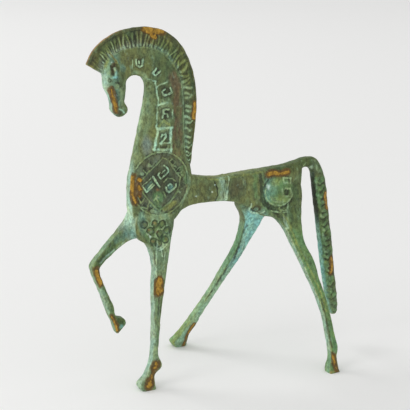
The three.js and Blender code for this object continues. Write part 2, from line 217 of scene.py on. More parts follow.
# The tail: a heavy plait that leaves the croup, turns over and hangs nearly to the ground.
# Each station is [inner x, z, outer x, z, middle y, half thickness].
TAIL = [
    [43.8, 108.4, 41.1, 114.2, 0, 3.4],
    [50.9, 112.2, 50.3, 118.2, 0, 3.8],
    [55.2, 113.5, 56.3, 119.3, 0, 3.1],
    [58.5, 112.6, 62.5, 118.2, 0, 2.9],
    [60.2, 109.4, 67, 112.1, 0, 2.7],
    [61.3, 100.9, 70.3, 102.1, 0, 2.6],
    [64, 83.6, 72.9, 83.4, 0, 2.6],
    [66.6, 66.1, 75.8, 65.3, 0, 2.6],
    [69.1, 49.7, 77.8, 48.9, 0, 2.5],
    [72, 35.1, 80, 34.3, 0, 2.4],
    [74.4, 24.2, 81.2, 23.5, 0, 2.1],
    [77.5, 18.5, 80.5, 18.8, 0, 1.3],
]
TAIL_SHARPNESS = 3

shells.append(limb(TAIL, TAIL_SHARPNESS, sides=28))


# The legs: thin bars with a flat front and flat sides, splayed so that three hooves stand on the
# ground while the far foreleg is raised. Each station is [front x, z, back x, z, middle y, half].
LEGS = {
    "near_front": [
        [-54.2, 105, -29.6, 105, -0.4, 3.2],
        [-55.8, 93, -32.1, 93, -2.2, 3.8],
        [-54.4, 85, -34.1, 86, -3.2, 3.9],
        [-49.6, 81, -35.4, 81, -3.8, 3.8],
        [-47.4, 76, -36.4, 76.4, -4.4, 3.7],
        [-46.3, 67, -38.4, 67.6, -5.4, 3.4],
        [-47.6, 55, -40.7, 55.6, -6.6, 3.1],
        [-48.2, 42, -43.4, 42.6, -8, 2.8],
        [-49.3, 28, -45.5, 28.6, -9.5, 2.7],
        [-50.5, 18, -46.7, 19, -10.5, 2.7],
        [-52.8, 12, -44.9, 12.2, -11.3, 2.8],
        [-55.6, 7.2, -49.6, 7.8, -12, 2.9],
        [-59.6, 3.2, -50.1, 3.2, -12.7, 3.6],
        [-58.2, 0, -49.8, 0, -13.2, 3.8],
    ],
    "far_front": [
        [-54.2, 106, -37, 98.6, 0.6, 3.1],
        [-58.3, 95.8, -44, 85.6, 2.8, 3.5],
        [-62.1, 89.6, -55.8, 83, 3.9, 3.4],
        [-66.8, 84.3, -61, 80.2, 4.7, 3.1],
        [-72.7, 77.5, -66.7, 75.7, 5.6, 3],
        [-78.1, 70.7, -72.8, 69.9, 6.5, 3],
        [-77.7, 65.4, -73.6, 65.2, 7.1, 3],
        [-72.5, 53, -68.7, 53, 8.8, 2.8],
        [-68.9, 43.3, -64.3, 43.6, 10.1, 2.6],
        [-66.9, 38.2, -63.6, 39.5, 10.7, 2.6],
        [-64.8, 34.2, -61.6, 36.4, 11.2, 3],
        [-63.4, 30.5, -57.5, 34.8, 11.6, 3.4],
        [-62.4, 27.3, -56.3, 32.3, 12, 3.2],
        [-61.4, 26.1, -56.8, 30.8, 12.2, 2.5],
    ],
    "near_hind": [
        [31.5, 110, 50, 111, -1, 3.6],
        [28.5, 98, 51.7, 99, -2.2, 3.5],
        [30.5, 89, 50.6, 89.4, -3.6, 3.6],
        [37.2, 80.4, 48.9, 80.6, -6.7, 3.5],
        [40.7, 71, 48.8, 71.4, -10.7, 3.1],
        [44.7, 60, 52.7, 60.6, -15.2, 3],
        [47.8, 50, 54, 50.4, -19.4, 2.8],
        [50.7, 40, 55.9, 40.4, -23.6, 2.5],
        [52.4, 30, 56.8, 30.2, -27.8, 2.5],
        [52.4, 20, 57, 20.2, -32, 2.5],
        [52.2, 12.6, 57.5, 13, -35.1, 2.5],
        [51.4, 7.8, 55.4, 8, -37.3, 2.6],
        [48.9, 3.2, 54.8, 3.2, -39.3, 3.2],
        [48, 0, 55.4, 0, -40.4, 3.5],
    ],
    "far_hind": [
        [11.7, 106, 35.8, 106, 1, 3.9],
        [10.9, 96, 34.3, 96, 2.2, 3.9],
        [15.5, 87, 30, 87, 3.9, 3.9],
        [16.7, 79, 27.4, 79.4, 7.2, 3.7],
        [16.4, 69.6, 24, 70.4, 11.2, 3.5],
        [13.7, 60, 20.7, 60.8, 15.2, 3.3],
        [9.8, 50, 15.8, 50.6, 19.4, 3.1],
        [6.3, 40, 11.3, 40.8, 23.6, 3],
        [1.6, 30, 6.9, 30.8, 27.8, 2.9],
        [-3.5, 20, 2.6, 20.8, 32, 2.9],
        [-7.4, 13, 0.2, 13.8, 34.8, 3],
        [-10.9, 7.6, -2.7, 8.8, 37, 3.4],
        [-13.6, 4, -3.6, 4, 38.5, 3.7],
        [-11, 0, -3.9, 0, 40, 3.7],
    ],
}
LEG_SHARPNESS = 6

for stations in LEGS.values():
    shells.append(limb(stations, LEG_SHARPNESS, rings=220))


# The bare casting: all limbs run into one skin of bronze, with the hard corners of the mould
# rubbed down a little and soft hollows where a leg or the tail grows out of the trunk.
CASTING_GRAIN = 0.36  # size of the skin's cells
ROUNDING = 4
FULLNESS = 0.04  # what the rubbing down took off, given back
# Each soft hollow is [x, y, z, reach].
HOLLOWS = [
    [-26, 0, 101, 9], [-22, 0, 119, 5], [-48, 0, 88, 8], [-57, 2, 93, 7], [-41, -3, 84, 7],
    [28, 0, 90, 9], [33, -3, 86, 7], [18, 3, 92, 8], [46, -2, 92, 7], [52, 0, 116, 6],
    [-59, 0, 172, 5], [-66, 0, 184, 5],
]
HOLLOW_ROUNDING = 56


def pour(shells):
    """One mesh over all the shells, in millimetres."""
    points = []
    faces = []
    start = 0
    for shell_points, shell_faces in shells:
        points.append(shell_points)
        faces += [tuple(i + start for i in face) for face in shell_faces]
        start += len(shell_points)
    rough = bpy.data.meshes.new("rough_casting")
    rough.from_pydata(np.concatenate(points).tolist(), [], faces)
    worker = bpy.data.objects.new("rough_casting", rough)
    bpy.context.scene.collection.objects.link(worker)
    remesh = worker.modifiers.new("one_skin", "REMESH")
    remesh.mode = "VOXEL"
    remesh.voxel_size = CASTING_GRAIN
    drawn = worker.evaluated_get(bpy.context.evaluated_depsgraph_get())
    poured = bpy.data.meshes.new_from_object(drawn)
    bpy.data.objects.remove(worker)
    bpy.data.meshes.remove(rough)
    return poured


def read(values, name, width):
    """A mesh's values as an array of rows."""
    row = np.zeros(len(values) * width, np.int32 if name == "vertices" else np.float32)
    values.foreach_get(name, row)
    return row.reshape(-1, width)


def set_spots(mesh, values):
    """Move a mesh's points."""
    mesh.vertices.foreach_set("co", values.astype(np.float32).ravel())
    mesh.update()


def ramp(value, low, high):
    """0 below low, 1 above high, and a soft rise between them."""
    t = np.clip((value - low) / (high - low), 0, 1)
    return t * t * (3 - 2 * t)


casting = pour(shells)
spots = read(casting.vertices, "co", 3).astype(float)
edges = read(casting.edges, "vertices", 2)
edge_count = np.bincount(edges.ravel(), minlength=len(spots)).clip(1)


def rounded(values, times, share=0.5):
    """The same spots after being rubbed down a number of times."""
    for _ in range(times):
        mean = np.empty_like(values)
        for k in range(3):
            there = np.bincount(edges[:, 0], values[edges[:, 1], k], len(values))
            back = np.bincount(edges[:, 1], values[edges[:, 0], k], len(values))
            mean[:, k] = (there + back) / edge_count
        values = values + share * (mean - values)
    return values


spots = rounded(spots, ROUNDING)
softness = np.zeros(len(spots))
for x, y, z, reach in HOLLOWS:
    away = np.linalg.norm(spots - np.array([x, y, z]), axis=1)
    softness = np.maximum(softness, 1 - ramp(away, 0.4 * reach, reach))
spots = rounded(spots, HOLLOW_ROUNDING, 0.5 * softness[:, None])
set_spots(casting, spots)
normals = read(casting.vertex_normals, "vector", 3).astype(float)
spots = spots + FULLNESS * normals


# The patina's ground: bronze that was buried or pickled turns olive brown, and paler and bluer
# where damp lay: on the breast, the fronts of the legs, the inside of the far thigh and the face.
# On faces turned to the front, that paleness is partly painted light from the lamps on the left.
LIT = 0.78  # how bright a near face looks, as a share of its coat's own colour
# The coats of the patina as they look on a near face, in red, green and blue out of 255.
SEEN = {
    "drab": (88, 103, 72),
    "olive": (100, 109, 66),
    "moss": (68, 84, 48),
    "bark": (92, 82, 60),
    "soot": (42, 47, 34),
    "umber": (68, 68, 48),
    "sage": (114, 138, 106),
    "fern": (90, 126, 80),
    "leaf": (134, 160, 124),
    "pale": (164, 194, 170),
    "bloom": (136, 162, 142),
    "teal": (126, 178, 172),
    "sea": (94, 134, 122),
    "slate": (108, 122, 114),
    "verdigris": (162, 200, 172),
    "chalk": (186, 206, 198),
    "straw": (132, 144, 80),
    "rust": (112, 80, 50),
    "burnt": (88, 64, 30),
    "tan": (150, 112, 66),
}


def coat(seen):
    """The colour of the coat itself, in linear light, from how it looks on a near face."""
    return ((np.array(seen) / 255 + 0.055) / 1.055) ** 2.4 / LIT


PATINA = {name: coat(seen) for name, seen in SEEN.items()}
DRIFT = np.array([[0.9, 0.4, 0.1], [-0.4, 0.9, 0.1], [-0.1, -0.05, 0.5]])  # how the patches lie
DRAWS = 4096  # random values that the patches are made from
SCATTER = (7919, 6101, 3571)  # spreads neighbouring cells over the draws


def cloud(size, seed):
    """Soft random patches from 0 to 1, about size millimetres across and twice as tall."""
    place = spots @ DRIFT / size + 7.3 * seed
    cell = np.floor(place).astype(int)
    t = place - cell
    t = t * t * (3 - 2 * t)
    draws = np.random.default_rng(seed).random(DRAWS)
    total = np.zeros(len(spots))
    for corner in np.ndindex(2, 2, 2):
        key = np.bitwise_xor.reduce((cell + corner) * SCATTER, axis=1) % DRAWS
        total += np.prod(np.where(corner, t, 1 - t), axis=1) * draws[key]
    return total


broad = ramp(cloud(size=11, seed=1), 0.3, 0.7)
blotch = ramp(cloud(size=3.6, seed=2), 0.3, 0.7)
grain = ramp(cloud(size=1.2, seed=3), 0.25, 0.75)
tint = np.tile(PATINA["drab"], (len(spots), 1))
whole = np.arange(len(spots))


def paint(at, share, colour):
    """Lay one patina colour over some spots, as strongly as share."""
    share = np.clip(share, 0, 1)[:, None]
    tint[at] += share * (PATINA[colour] - tint[at])


faces_to = {
    "all": np.ones(len(spots)),
    "front": ramp(-normals[:, 0], 0.35, 0.75),
    "near": ramp(-normals[:, 1], 0.4, 0.8),
    "top": ramp(normals[:, 2], 0.55, 0.85),
}


def fog(colour, middle, radii, strength, to="all", broken=0.5):
    """A soft cloud of one patina colour round a point of the casting."""
    away = np.linalg.norm((spots - np.array(middle)) / np.array(radii), axis=1)
    share = strength * (1 - ramp(away + 0.3 * (broad - 0.5), 0.55, 1.05)) * faces_to[to]
    paint(whole, share * (1 - broken * blotch), colour)


# Each cloud is [coat, middle, radii, strength, the faces that it lies on, how broken it is].
GROUND_CLOUDS = [
    ["sage", [-50, 0, 156], [9, 9, 26], 0.75],
    ["sage", [-54, 0, 128], [6, 9, 12], 0.6],
    ["slate", [-48, -3, 136], [5, 5, 9], 0.8],
    ["moss", [-34, 0, 168], [8, 8, 16], 0.4, "near", 0.3],
    ["umber", [-58, 0, 184], [7, 6, 7], 0.5],
    ["moss", [-42, 0, 181], [12, 6, 7], 0.5],
    # partly painted light: the next two clouds lie on front faces, patina that also stands for the
    # lamps' light
    ["leaf", [-51, 0, 152], [9, 6, 26], 0.8, "front"],
    ["bloom", [-57, 0, 110], [8, 8, 26], 1, "front", 0.15],
    ["moss", [-12, 0, 108], [11, 9, 7], 0.4, "near"],
    ["umber", [8, 0, 107], [9, 9, 7], 0.5, "near"],
    ["fern", [33, 0, 101], [17, 9, 14], 0.8],
    ["sea", [29, -5, 104], [5, 3, 8], 0.7],
    # painted top light: straw on the faces turned up along the back
    ["straw", [0, 0, 116], [52, 5, 4], 0.2, "top"],
    ["moss", [46, -6, 96], [9, 9, 12], 0.6, "near"],
    ["moss", [42, 0, 115], [16, 9, 9], 1, "all", 0.1],
    ["moss", [52, 0, 116], [9, 9, 9], 0.9, "all", 0.2],
    ["teal", [21, 3, 84], [13, 9, 18], 1, "near", 0.05],
    ["sea", [12, -3, 92], [7, 6, 6], 0.5, "near"],
    ["slate", [-57, 3, 90], [9, 9, 10], 0.8, "all", 0.2],
    ["bloom", [-56.5, 3, 91], [7, 9, 10], 0.9, "all", 0.3],
    ["teal", [-54.5, 3, 90], [3, 9, 9], 0.6, "all", 0.5],
    ["sea", [-52.6, -5, 93], [3.4, 4, 9], 0.7, "all", 0.3],
    # partly painted light: a front-face cloud, patina that also stands for the lamps' light
    ["pale", [-58, 0, 99], [6, 8, 13], 0.6, "front", 0.2],
    ["sea", [-66, 0, 170], [9, 9, 20], 0.85],
    ["leaf", [-70, -2, 178], [3, 6, 7], 0.8, "all", 0.3],
    # partly painted light: the next two front-face clouds, patina that also stands for the lamps'
    # light
    ["bloom", [-70, 0, 168], [7, 8, 20], 1, "front", 0.15],
    ["pale", [-70, 0, 170], [7, 8, 14], 0.3, "front", 0.6],
    ["straw", [-71.5, 0, 184.5], [2.8, 6, 5.5], 0.9, "all", 0.2],
    ["olive", [-62.6, 0, 168], [3.4, 9, 9], 0.8],
]

paint(whole, 0.65 * broad, "olive")
paint(whole, 0.4 * blotch * (1 - broad), "moss")
for row in GROUND_CLOUDS:
    fog(*row)


# The coats of the legs: the patina took another colour on their front faces than on their near
# faces, and the corner between the two is rubbed lighter or eaten darker. Where the front coat is
# the paler, that is partly painted light, and faces turned back are darkened with moss as painted
# shade.
# Each leg has [front coat, near coat, the corner's coat, how strong the corner is].
COATS = {
    "near_front": ["bloom", "sage", "umber", 0.3],
    "far_front": ["sage", "fern", "sage", 0.35],
    "near_hind": ["bloom", "fern", "straw", 0.6],
    "far_hind": ["fern", "teal", "moss", 0.75],
}
STEPS = 240  # places along a leg
LEG_TOP = 98
TAIL_FRONT = 57  # the tail hangs behind a line that starts here on the ground
TAIL_SLOPE = 0.05  # and runs this far back for each millimetre up
LEG_CLOUDS = [
    ["leaf", [5, 26, 34], [18, 24, 30], 0.85, "all", 0.25],
    ["straw", [-6, 30, 9], [14, 24, 14], 0.5, "all", 0.3],
    ["leaf", [-49, -4, 24], [12, 12, 28], 0.7, "near", 0.3],
    ["bloom", [-71, 7, 48], [9, 12, 15], 0.55, "all", 0.3],
    ["moss", [-60.4, 8, 34.4], [5, 12, 6], 0.9, "all", 0.1],
    ["teal", [-59.8, 8, 30.6], [2, 12, 2], 0.8, "all", 0.2],
    ["fern", [50, -38, 4], [4, 12, 8], 0.8, "all", 0.3],
    ["fern", [50, -20, 60], [12, 14, 26], 0.5, "near"],
]

leg_tree = KDTree(STEPS * len(LEGS))
for i, stations in enumerate(LEGS.values()):
    for k, row in enumerate(between(stations, np.linspace(0, 1, STEPS))):
        leg_tree.insert(((row[0] + row[2]) / 2, row[4], (row[1] + row[3]) / 2), i * STEPS + k)
leg_tree.balance()
before_tail = spots[:, 0] < TAIL_FRONT + TAIL_SLOPE * spots[:, 2]
below = np.nonzero((spots[:, 2] < LEG_TOP) & before_tail)[0]
nearest = np.array([leg_tree.find(spot)[1] for spot in spots[below]])
for i, (front_coat, near_coat, corner_coat, corner) in enumerate(COATS.values()):
    mine = nearest // STEPS == i
    at = below[mine]
    down = (nearest[mine] % STEPS) / STEPS
    fade = ramp(down, 0.12, 0.3)
    front = faces_to["front"][at]
    edge = ramp(np.minimum(-normals[at, 0], -normals[at, 1]), 0.3, 0.6)
    paint(at, 0.85 * fade * (1 - 0.35 * blotch[at]), near_coat)
    # partly painted light: the front coat, paler on most legs, also stands for the lamps' light on
    # the front faces
    paint(at, 0.95 * fade * front * (1 - 0.2 * blotch[at]), front_coat)
    paint(at, corner * fade * edge * (1 - 0.5 * grain[at]), corner_coat)
    # painted shade: moss on the faces turned back, away from the lamps
    paint(at, 0.4 * fade * ramp(normals[at, 0], 0.3, 0.8), "moss")
for row in LEG_CLOUDS:
    fog(*row)


# The carver's tools: every mark on the casting is a cut or a raised stroke along a drawn line, on
# the near or the far side, and most marks hold old dirt or verdigris.
HAND_WOBBLE = 0.09  # how far the carver's hand strays
GRAZING = 0.12  # a face turned less than this to one side takes none of its marks

wobble_x = np.sin(spots[:, 2] * 1.7 + spots[:, 0] * 0.6) + 0.6 * np.sin(spots[:, 2] * 3.9 + 1)
wobble_z = np.sin(spots[:, 0] * 1.9 - spots[:, 2] * 0.5) + 0.6 * np.sin(spots[:, 0] * 4.3 + 2)
drawn_x = spots[:, 0] + HAND_WOBBLE * wobble_x
drawn_z = spots[:, 2] + HAND_WOBBLE * wobble_z
relief = np.zeros(len(spots))
bare = np.zeros(len(spots))
sides = {}
for side in (NEAR, FAR):
    at = np.nonzero(side * normals[:, 1] > GRAZING)[0]
    sides[side] = {"at": at, "facing": ramp(side * normals[at, 1], GRAZING, 0.45)}


def drawn_near(side, points, reach, loop=False):
    """The spots of one side within reach of a drawn line, and how far each is from it."""
    points = np.array(points + points[:1] if loop else points, float)
    at = sides[side]["at"]
    x, z = drawn_x[at], drawn_z[at]
    low, high = points.min(0) - reach, points.max(0) + reach
    inside = np.nonzero((x > low[0]) & (x < high[0]) & (z > low[1]) & (z < high[1]))[0]
    x, z = x[inside], z[inside]
    gap = np.full(len(inside), 1e9)
    for (ax, az), (bx, bz) in zip(points[:-1], points[1:]):
        dx, dz = bx - ax, bz - az
        along = np.clip(((x - ax) * dx + (z - az) * dz) / (dx * dx + dz * dz + 1e-9), 0, 1)
        gap = np.minimum(gap, np.hypot(x - ax - along * dx, z - az - along * dz))
    return at[inside], gap, sides[side]["facing"][inside]


def stroke(side, points, width, rise, colour, strength=0.9, loop=False):
    """A cut, or a raised stroke if rise is above zero, along a drawn line."""
    at, gap, facing = drawn_near(side, points, 1.2 * width + 0.5, loop)
    gap = gap + 0.2 * width * (grain[at] - 0.5)
    shape = (1 - ramp(gap, 0.22 * width, 0.66 * width)) * facing
    relief[at] += shape * (rise - relief[at])
    paint(at, strength * shape * (1 - 0.65 * blotch[at] * grain[at]), colour)


def patch(side, middle, radii, rise, colour, strength=0.8, flat=0.6, turn=0, square=2):
    """A raised or sunk patch, oval or squarish, level in the middle as far out as flat."""
    at = sides[side]["at"]
    x, z = drawn_x[at] - middle[0], drawn_z[at] - middle[1]
    c, s = math.cos(math.radians(turn)), math.sin(math.radians(turn))
    u, v = np.abs(x * c + z * s) / radii[0], np.abs(z * c - x * s) / radii[1]
    inside = np.nonzero((u < 1.2) & (v < 1.2))[0]
    out = (u[inside] ** square + v[inside] ** square) ** (1 / square)
    at, facing = at[inside], sides[side]["facing"][inside]
    shape = facing * (1 - ramp(out + 0.12 * (grain[at] - 0.5), flat, 1.05))
    relief[at] += rise * shape
    paint(at, strength * shape * (1 - 0.35 * blotch[at]), colour)


def mark(side, rows):
    """Marks made one after the other. A row that opens with a line's points is a stroke, with
    its width, rise, coat and strength, and one that opens with a middle is a patch, with its
    radii, rise, coat, strength, how far out it is level, its turn and how square it is."""
    for row in rows:
        tool = stroke if isinstance(row[0][0], list) else patch
        tool(side, *row)


# The neck's carving: key figures one below the other between a border line and the mane, as on
# early Greek vases. Each stands up pale from a dark sunk field.
# Each field is [middle, radii, turn], and each line is [width, points].
NECK_FIELDS = [
    [[-51.6, 181.2], [2.9, 2.9], 8], [[-41.2, 175.6], [3, 2.5], -35],
    [[-35.6, 164.7], [4.3, 3.8], -8], [[-36.6, 152.8], [4.4, 4], 0],
    [[-37.4, 139.2], [3.9, 4.4], 3], [[-38, 134.6], [2.8, 1.1], 0],
]
NECK_LINES = [
    [0.9, [[-53.6, 183.2], [-53.2, 179.9], [-51.5, 179.2], [-49.8, 179.7], [-49.5, 183]]],
    [0.7, [[-51.7, 182.2], [-51.7, 180.9]]],
    [0.45, [[-55.6, 183.1], [-55.9, 178.2]]],
    [0.9, [[-41.6, 177.6], [-43.6, 175.1], [-41.9, 173.8], [-39.2, 176.2]]],
    [0.6, [[-47, 172.6], [-44, 171.4], [-41.6, 170.6]]],
    [0.7, [[-41.6, 167.4], [-40.6, 168.4], [-35.4, 169.8]]],
    [1.0, [[-36.4, 166], [-38.3, 164.8], [-37.3, 162.7], [-33.8, 163.4], [-32.4, 164],
            [-33.4, 166.6]]],
    [0.8, [[-42.4, 169.8], [-41.6, 165], [-40.7, 159.9], [-41.2, 157.4], [-41.6, 151.6],
           [-42.2, 146]]],
    [1.0, [[-41.1, 157.7], [-38.7, 158.3], [-35.5, 158.8]]],
    [0.95, [[-34.3, 155], [-37.5, 154.9], [-38.3, 150.6]]],
    [0.8, [[-37.8, 152.8], [-35.4, 152.6], [-35, 150.9]]],
    [0.7, [[-32.1, 154.4], [-32.3, 149.8]]],
    [1.4, [[-33.6, 143.9], [-33.5, 132.4]]],
    [1.4, [[-41.6, 144.8], [-32.4, 144.9]]],
    [1.5, [[-41.5, 144.2], [-43.4, 134.1]]],
    [1.3, [[-44.2, 133.6], [-34.1, 132.8]]],
    [0.8, [[-42.2, 131.9], [-33.3, 131.2]]],
    [0.95, [[-39.2, 140.4], [-38.6, 141.4], [-36.8, 141.5], [-36.3, 139.9], [-39.3, 137.2]]],
    [0.9, [[-40.1, 136.7], [-34.2, 136.5]]],
]
NECK_PLAIN = (7, 13, 14, 15)  # the lines that the plainer far side has too
THROAT_LINE = [[-54.9, 176.4], [-51.1, 176.1], [-48.4, 174.6], [-46.4, 171.4]]
CURL = [[-40.4, 146.6], [-37.6, 148.9], [-34, 146.2]]
MANE_STRIP = [[-31, 172], [-29, 165], [-28.8, 154.2], [-29.6, 139.5], [-30, 131]]
GREEN_STRIP = [[-37.4, 131], [-37, 158]]

stroke(NEAR, MANE_STRIP, 6.4, -0.12, "bark", 0.95)
stroke(NEAR, GREEN_STRIP, 7, 0, "leaf", 0.6)
for middle, radii, turn in NECK_FIELDS:
    patch(NEAR, middle, radii, -0.3, "umber", 0.75, turn=turn, square=4)
    patch(NEAR, middle, [0.7 * r for r in radii], -0.05, "soot", 0.55, turn=turn, square=3)
for width, points in NECK_LINES:
    stroke(NEAR, points, 1.1 * width, 0.34, "verdigris")
stroke(NEAR, CURL, 1.6, 0.35, "straw", 0.6)
stroke(NEAR, THROAT_LINE, 1.8, 0.15, "leaf", 0.5)
for k in NECK_PLAIN:
    width, points = NECK_LINES[k]
    stroke(FAR, points, width, 0.3, "leaf", 0.6)


# The breast medallion: a round shield with a thin rim and a dark sunk field stained by damp. In
# it stands a diamond with four unlike key figures and a few lines worn faint, and rows of small
# raised cells fill the outer band.
MEDALLION = {"x": -40.4, "z": 114.4, "rx": 17.2, "rz": 17.6}
DIAMOND = [[-52.4, 117], [-46.1, 122.7], [-41.3, 126.3], [-38.6, 128.8], [-35.4, 127],
           [-31.5, 120.6], [-28.1, 116.6], [-29.6, 110], [-34.6, 103.4], [-41.4, 99.2],
           [-46.3, 104], [-50.8, 109.8]]
MEDALLION_LEVEL = 0.93  # how far out its field is level
FIGURES = [  # each [width, points]
    [0.9, [[-51.4, 114], [-48.9, 110.6], [-44.5, 114]]],
    [0.7, [[-48.2, 112.3], [-45.3, 115]]],
    [0.5, [[-51.1, 114.5], [-46.1, 118]]],
    [1.1, [[-44.8, 118.6], [-42.4, 114.6], [-41, 112.6]]],
    [0.85, [[-40.7, 120.9], [-41.7, 119.4], [-40.1, 117], [-35.2, 120.8], [-36, 122.6],
            [-38, 124.3]]],
    [0.45, [[-39.6, 120.2], [-37.6, 121.6]]],
    [1.1, [[-37, 111.8], [-36.6, 110.2], [-35.1, 109], [-31.2, 111.6], [-31.2, 113.2]]],
    [0.7, [[-36.2, 112.6], [-34.6, 113.8], [-33.6, 113]]],
]
FAINT_LINES = [
    [[-38.4, 115.2], [-36, 117], [-33.2, 116.6], [-31.2, 114.8]],
    [[-38.6, 109.4], [-37.2, 106.2]],
    [[-44.3, 105.6], [-43.6, 107.1], [-42.4, 108]],
    [[-43.6, 106.5], [-41.2, 106.9]],
    [[-43.2, 106.2], [-41.9, 104.4]],
]
CELL_LINES = [
    [[-34.9, 126.1], [-33, 127.4], [-31, 125.7], [-32.9, 124], [-34.9, 126.1]],
    [[-32.7, 123.8], [-30.8, 123], [-30.2, 122.3]],
    [[-31.5, 120.2], [-29.1, 122.2], [-28, 122.3]],
    [[-30.2, 119.5], [-28.5, 119], [-26.4, 120.7]],
    [[-27.8, 118.3], [-26.1, 117.5], [-25.3, 119.2]],
    [[-50.4, 123], [-48.6, 120.8], [-47, 122.6]],
    [[-47.4, 126.2], [-45.4, 124.4], [-43.8, 125.8]],
    [[-50.6, 109.5], [-46.3, 104], [-41.6, 99.4]],
    [[-54.2, 108.6], [-52.3, 104.6], [-50.2, 107.4]],
    [[-52.4, 102.6], [-48.6, 101.2], [-47.6, 104.6]],
    [[-47, 99.8], [-44.2, 101.4]],
    [[-38.2, 101.5], [-34.8, 103.6], [-31, 106.7]],
    [[-30.9, 107.6], [-29.2, 109.6], [-26.8, 110.3]],
    [[-30, 110], [-28.4, 107.8]],
    [[-25, 122], [-23.4, 116.5], [-23.6, 109.6], [-25.4, 104.7], [-27.9, 100.4]],
]
DARK_CELLS = [[-49.7, 123.5], [-52.5, 119.8], [-45.6, 126.4], [-52.1, 107.2], [-49.8, 103.6],
              [-46.9, 100.6], [-33.2, 125.7], [-29.8, 121.2], [-27.1, 115.7], [-26.6, 112.2]]
PALE_CELLS = [[-46.7, 125], [-51.3, 120.9]]
FIELD_STAINS = [
    [[-39.8, 114.6], [10.4, 12.4], -0.1, "soot", 0.65, 0.5, 8],
    [[-46.8, 113.6], [3.4, 2.2], 0, "sea", 0.7, 0.6, 38, 4],
    [[-34.4, 111.8], [2.4, 2.2], 0.2, "sea", 0.95, 0.5],
    [[-37.4, 130], [6, 2.4], 0, "umber", 0.8, 0.3],
    [[-42, 106.6], [5, 5], 0, "fern", 0.85, 0.3],
    [[-46.8, 103.4], [5, 4], 0, "slate", 0.5, 0.3, -40],
    [[-43.6, 101.6], [6, 3], 0, "fern", 0.7, 0.3, -30],
    [[-44.6, 101], [4.6, 2], 0, "bloom", 0.4, 0.2, -35],
    [[-42.4, 106.6], [2.2, 1.6], 0.1, "bloom", 0.55, 0.2, 35],
    [[[-46, 99.6], [-40, 97.6]], 2, 0, "leaf", 0.5],
    [[[-47, 125], [-41, 129.6]], 3, 0, "slate", 0.45],
    [[[-27, 122], [-25, 114]], 3, 0, "fern", 0.6],
    [[-54, 113.2], [3.2, 6.6], -0.1, "rust", 0.7, 0.6],
    [[-34.6, 101.4], [6.4, 2], 0.3, "straw", 0.7, 0.5, 28],
    [[-31.6, 98.9], [5.4, 1.2], -0.15, "soot", 0.6, 0.4, 22],
    [[-42.2, 111], [1.1, 0.9], 0, "rust", 0.9],
]


def oval(shape, count=48, grow=0.0):
    """The points round an oval, widened by grow."""
    turn = np.arange(count) / count * 2 * np.pi
    x = shape["x"] + (shape["rx"] + grow) * np.cos(turn)
    z = shape["z"] + (shape["rz"] + grow) * np.sin(turn)
    return np.stack([x, z], 1).tolist()


middle = [MEDALLION["x"], MEDALLION["z"]]
reach = [MEDALLION["rx"], MEDALLION["rz"]]
for side in (NEAR, FAR):
    patch(side, middle, reach, -0.28, "umber", 0.7, MEDALLION_LEVEL)
    patch(side, middle, reach, 0, "slate", 0.2, MEDALLION_LEVEL)
    stroke(side, DIAMOND[:8], 0.8, 0.2, "sage", 0.8)
    stroke(side, DIAMOND[7:] + DIAMOND[:1], 0.9, 0.15, "fern", 0.5)
    stroke(side, oval(MEDALLION), 0.8, 0.3, "leaf", 0.7, loop=True)
mark(NEAR, FIELD_STAINS)
for x, z in DARK_CELLS:
    patch(NEAR, [x, z], [1.5, 1.2], -0.2, "soot", 0.75, turn=40, square=3)
for points in CELL_LINES:
    stroke(NEAR, points, 0.7, 0.2, "sage", 0.85)
for width, points in FIGURES:
    stroke(NEAR, points, width, 0.4, "verdigris")
for points in FAINT_LINES:
    stroke(NEAR, points, 0.8, 0.2, "leaf", 0.65)
for x, z in PALE_CELLS:
    patch(NEAR, [x, z], [1.5, 1.1], 0.2, "leaf", 0.6)


# The dots: rows of small round knobs over the standing foreleg, each in a dark sunk ring with a
# pale edge round part of it, and below them flutes and a curled vine that run down to the knee.
DOT_RADIUS = 1.6
DOT_CORNERS = 14
PALE_CORNERS = 8
DOT_FIELD = [-44.5, 87.4]
BAND_OVER_DOTS = [[-51.5, 98], [-45, 95.8], [-36, 95.6]]
DOTS = [[-51.3, 92.8], [-44.8, 92.6], [-40.4, 92], [-48, 89.1], [-37.9, 88.2], [-42.3, 86.8],
        [-46.5, 83], [-39.2, 83.2], [-43.6, 81.5]]
RUSTY_DOTS = [[-45.2, 93], [-44, 88], [-48.9, 89.7], [-46.9, 83.2]]
GREEN_DOTS = [[-40.4, 91.6], [-38, 87.6], [-39.5, 82.7]]
VINE = [  # each [width, points]
    [0.8, [[-44.3, 83.1], [-44.8, 79], [-45.2, 74.3], [-45.9, 63]]],
    [0.7, [[-43.3, 77.6], [-40.8, 78.5], [-38.3, 80.4]]],
    [0.6, [[-42.7, 79.7], [-41.5, 73.9]]],
    [0.6, [[-39.9, 76.5], [-41.1, 68]]],
]
FLUTES = [[[-46.2, 77.6], [-46.4, 63]], [[-47.2, 52.6], [-47.8, 46.9], [-48, 40], [-48.6, 27]],
          [[-42.8, 51.8], [-44.1, 44.3], [-44.9, 36]], [[-44.6, 51], [-46, 40], [-46.9, 22]]]

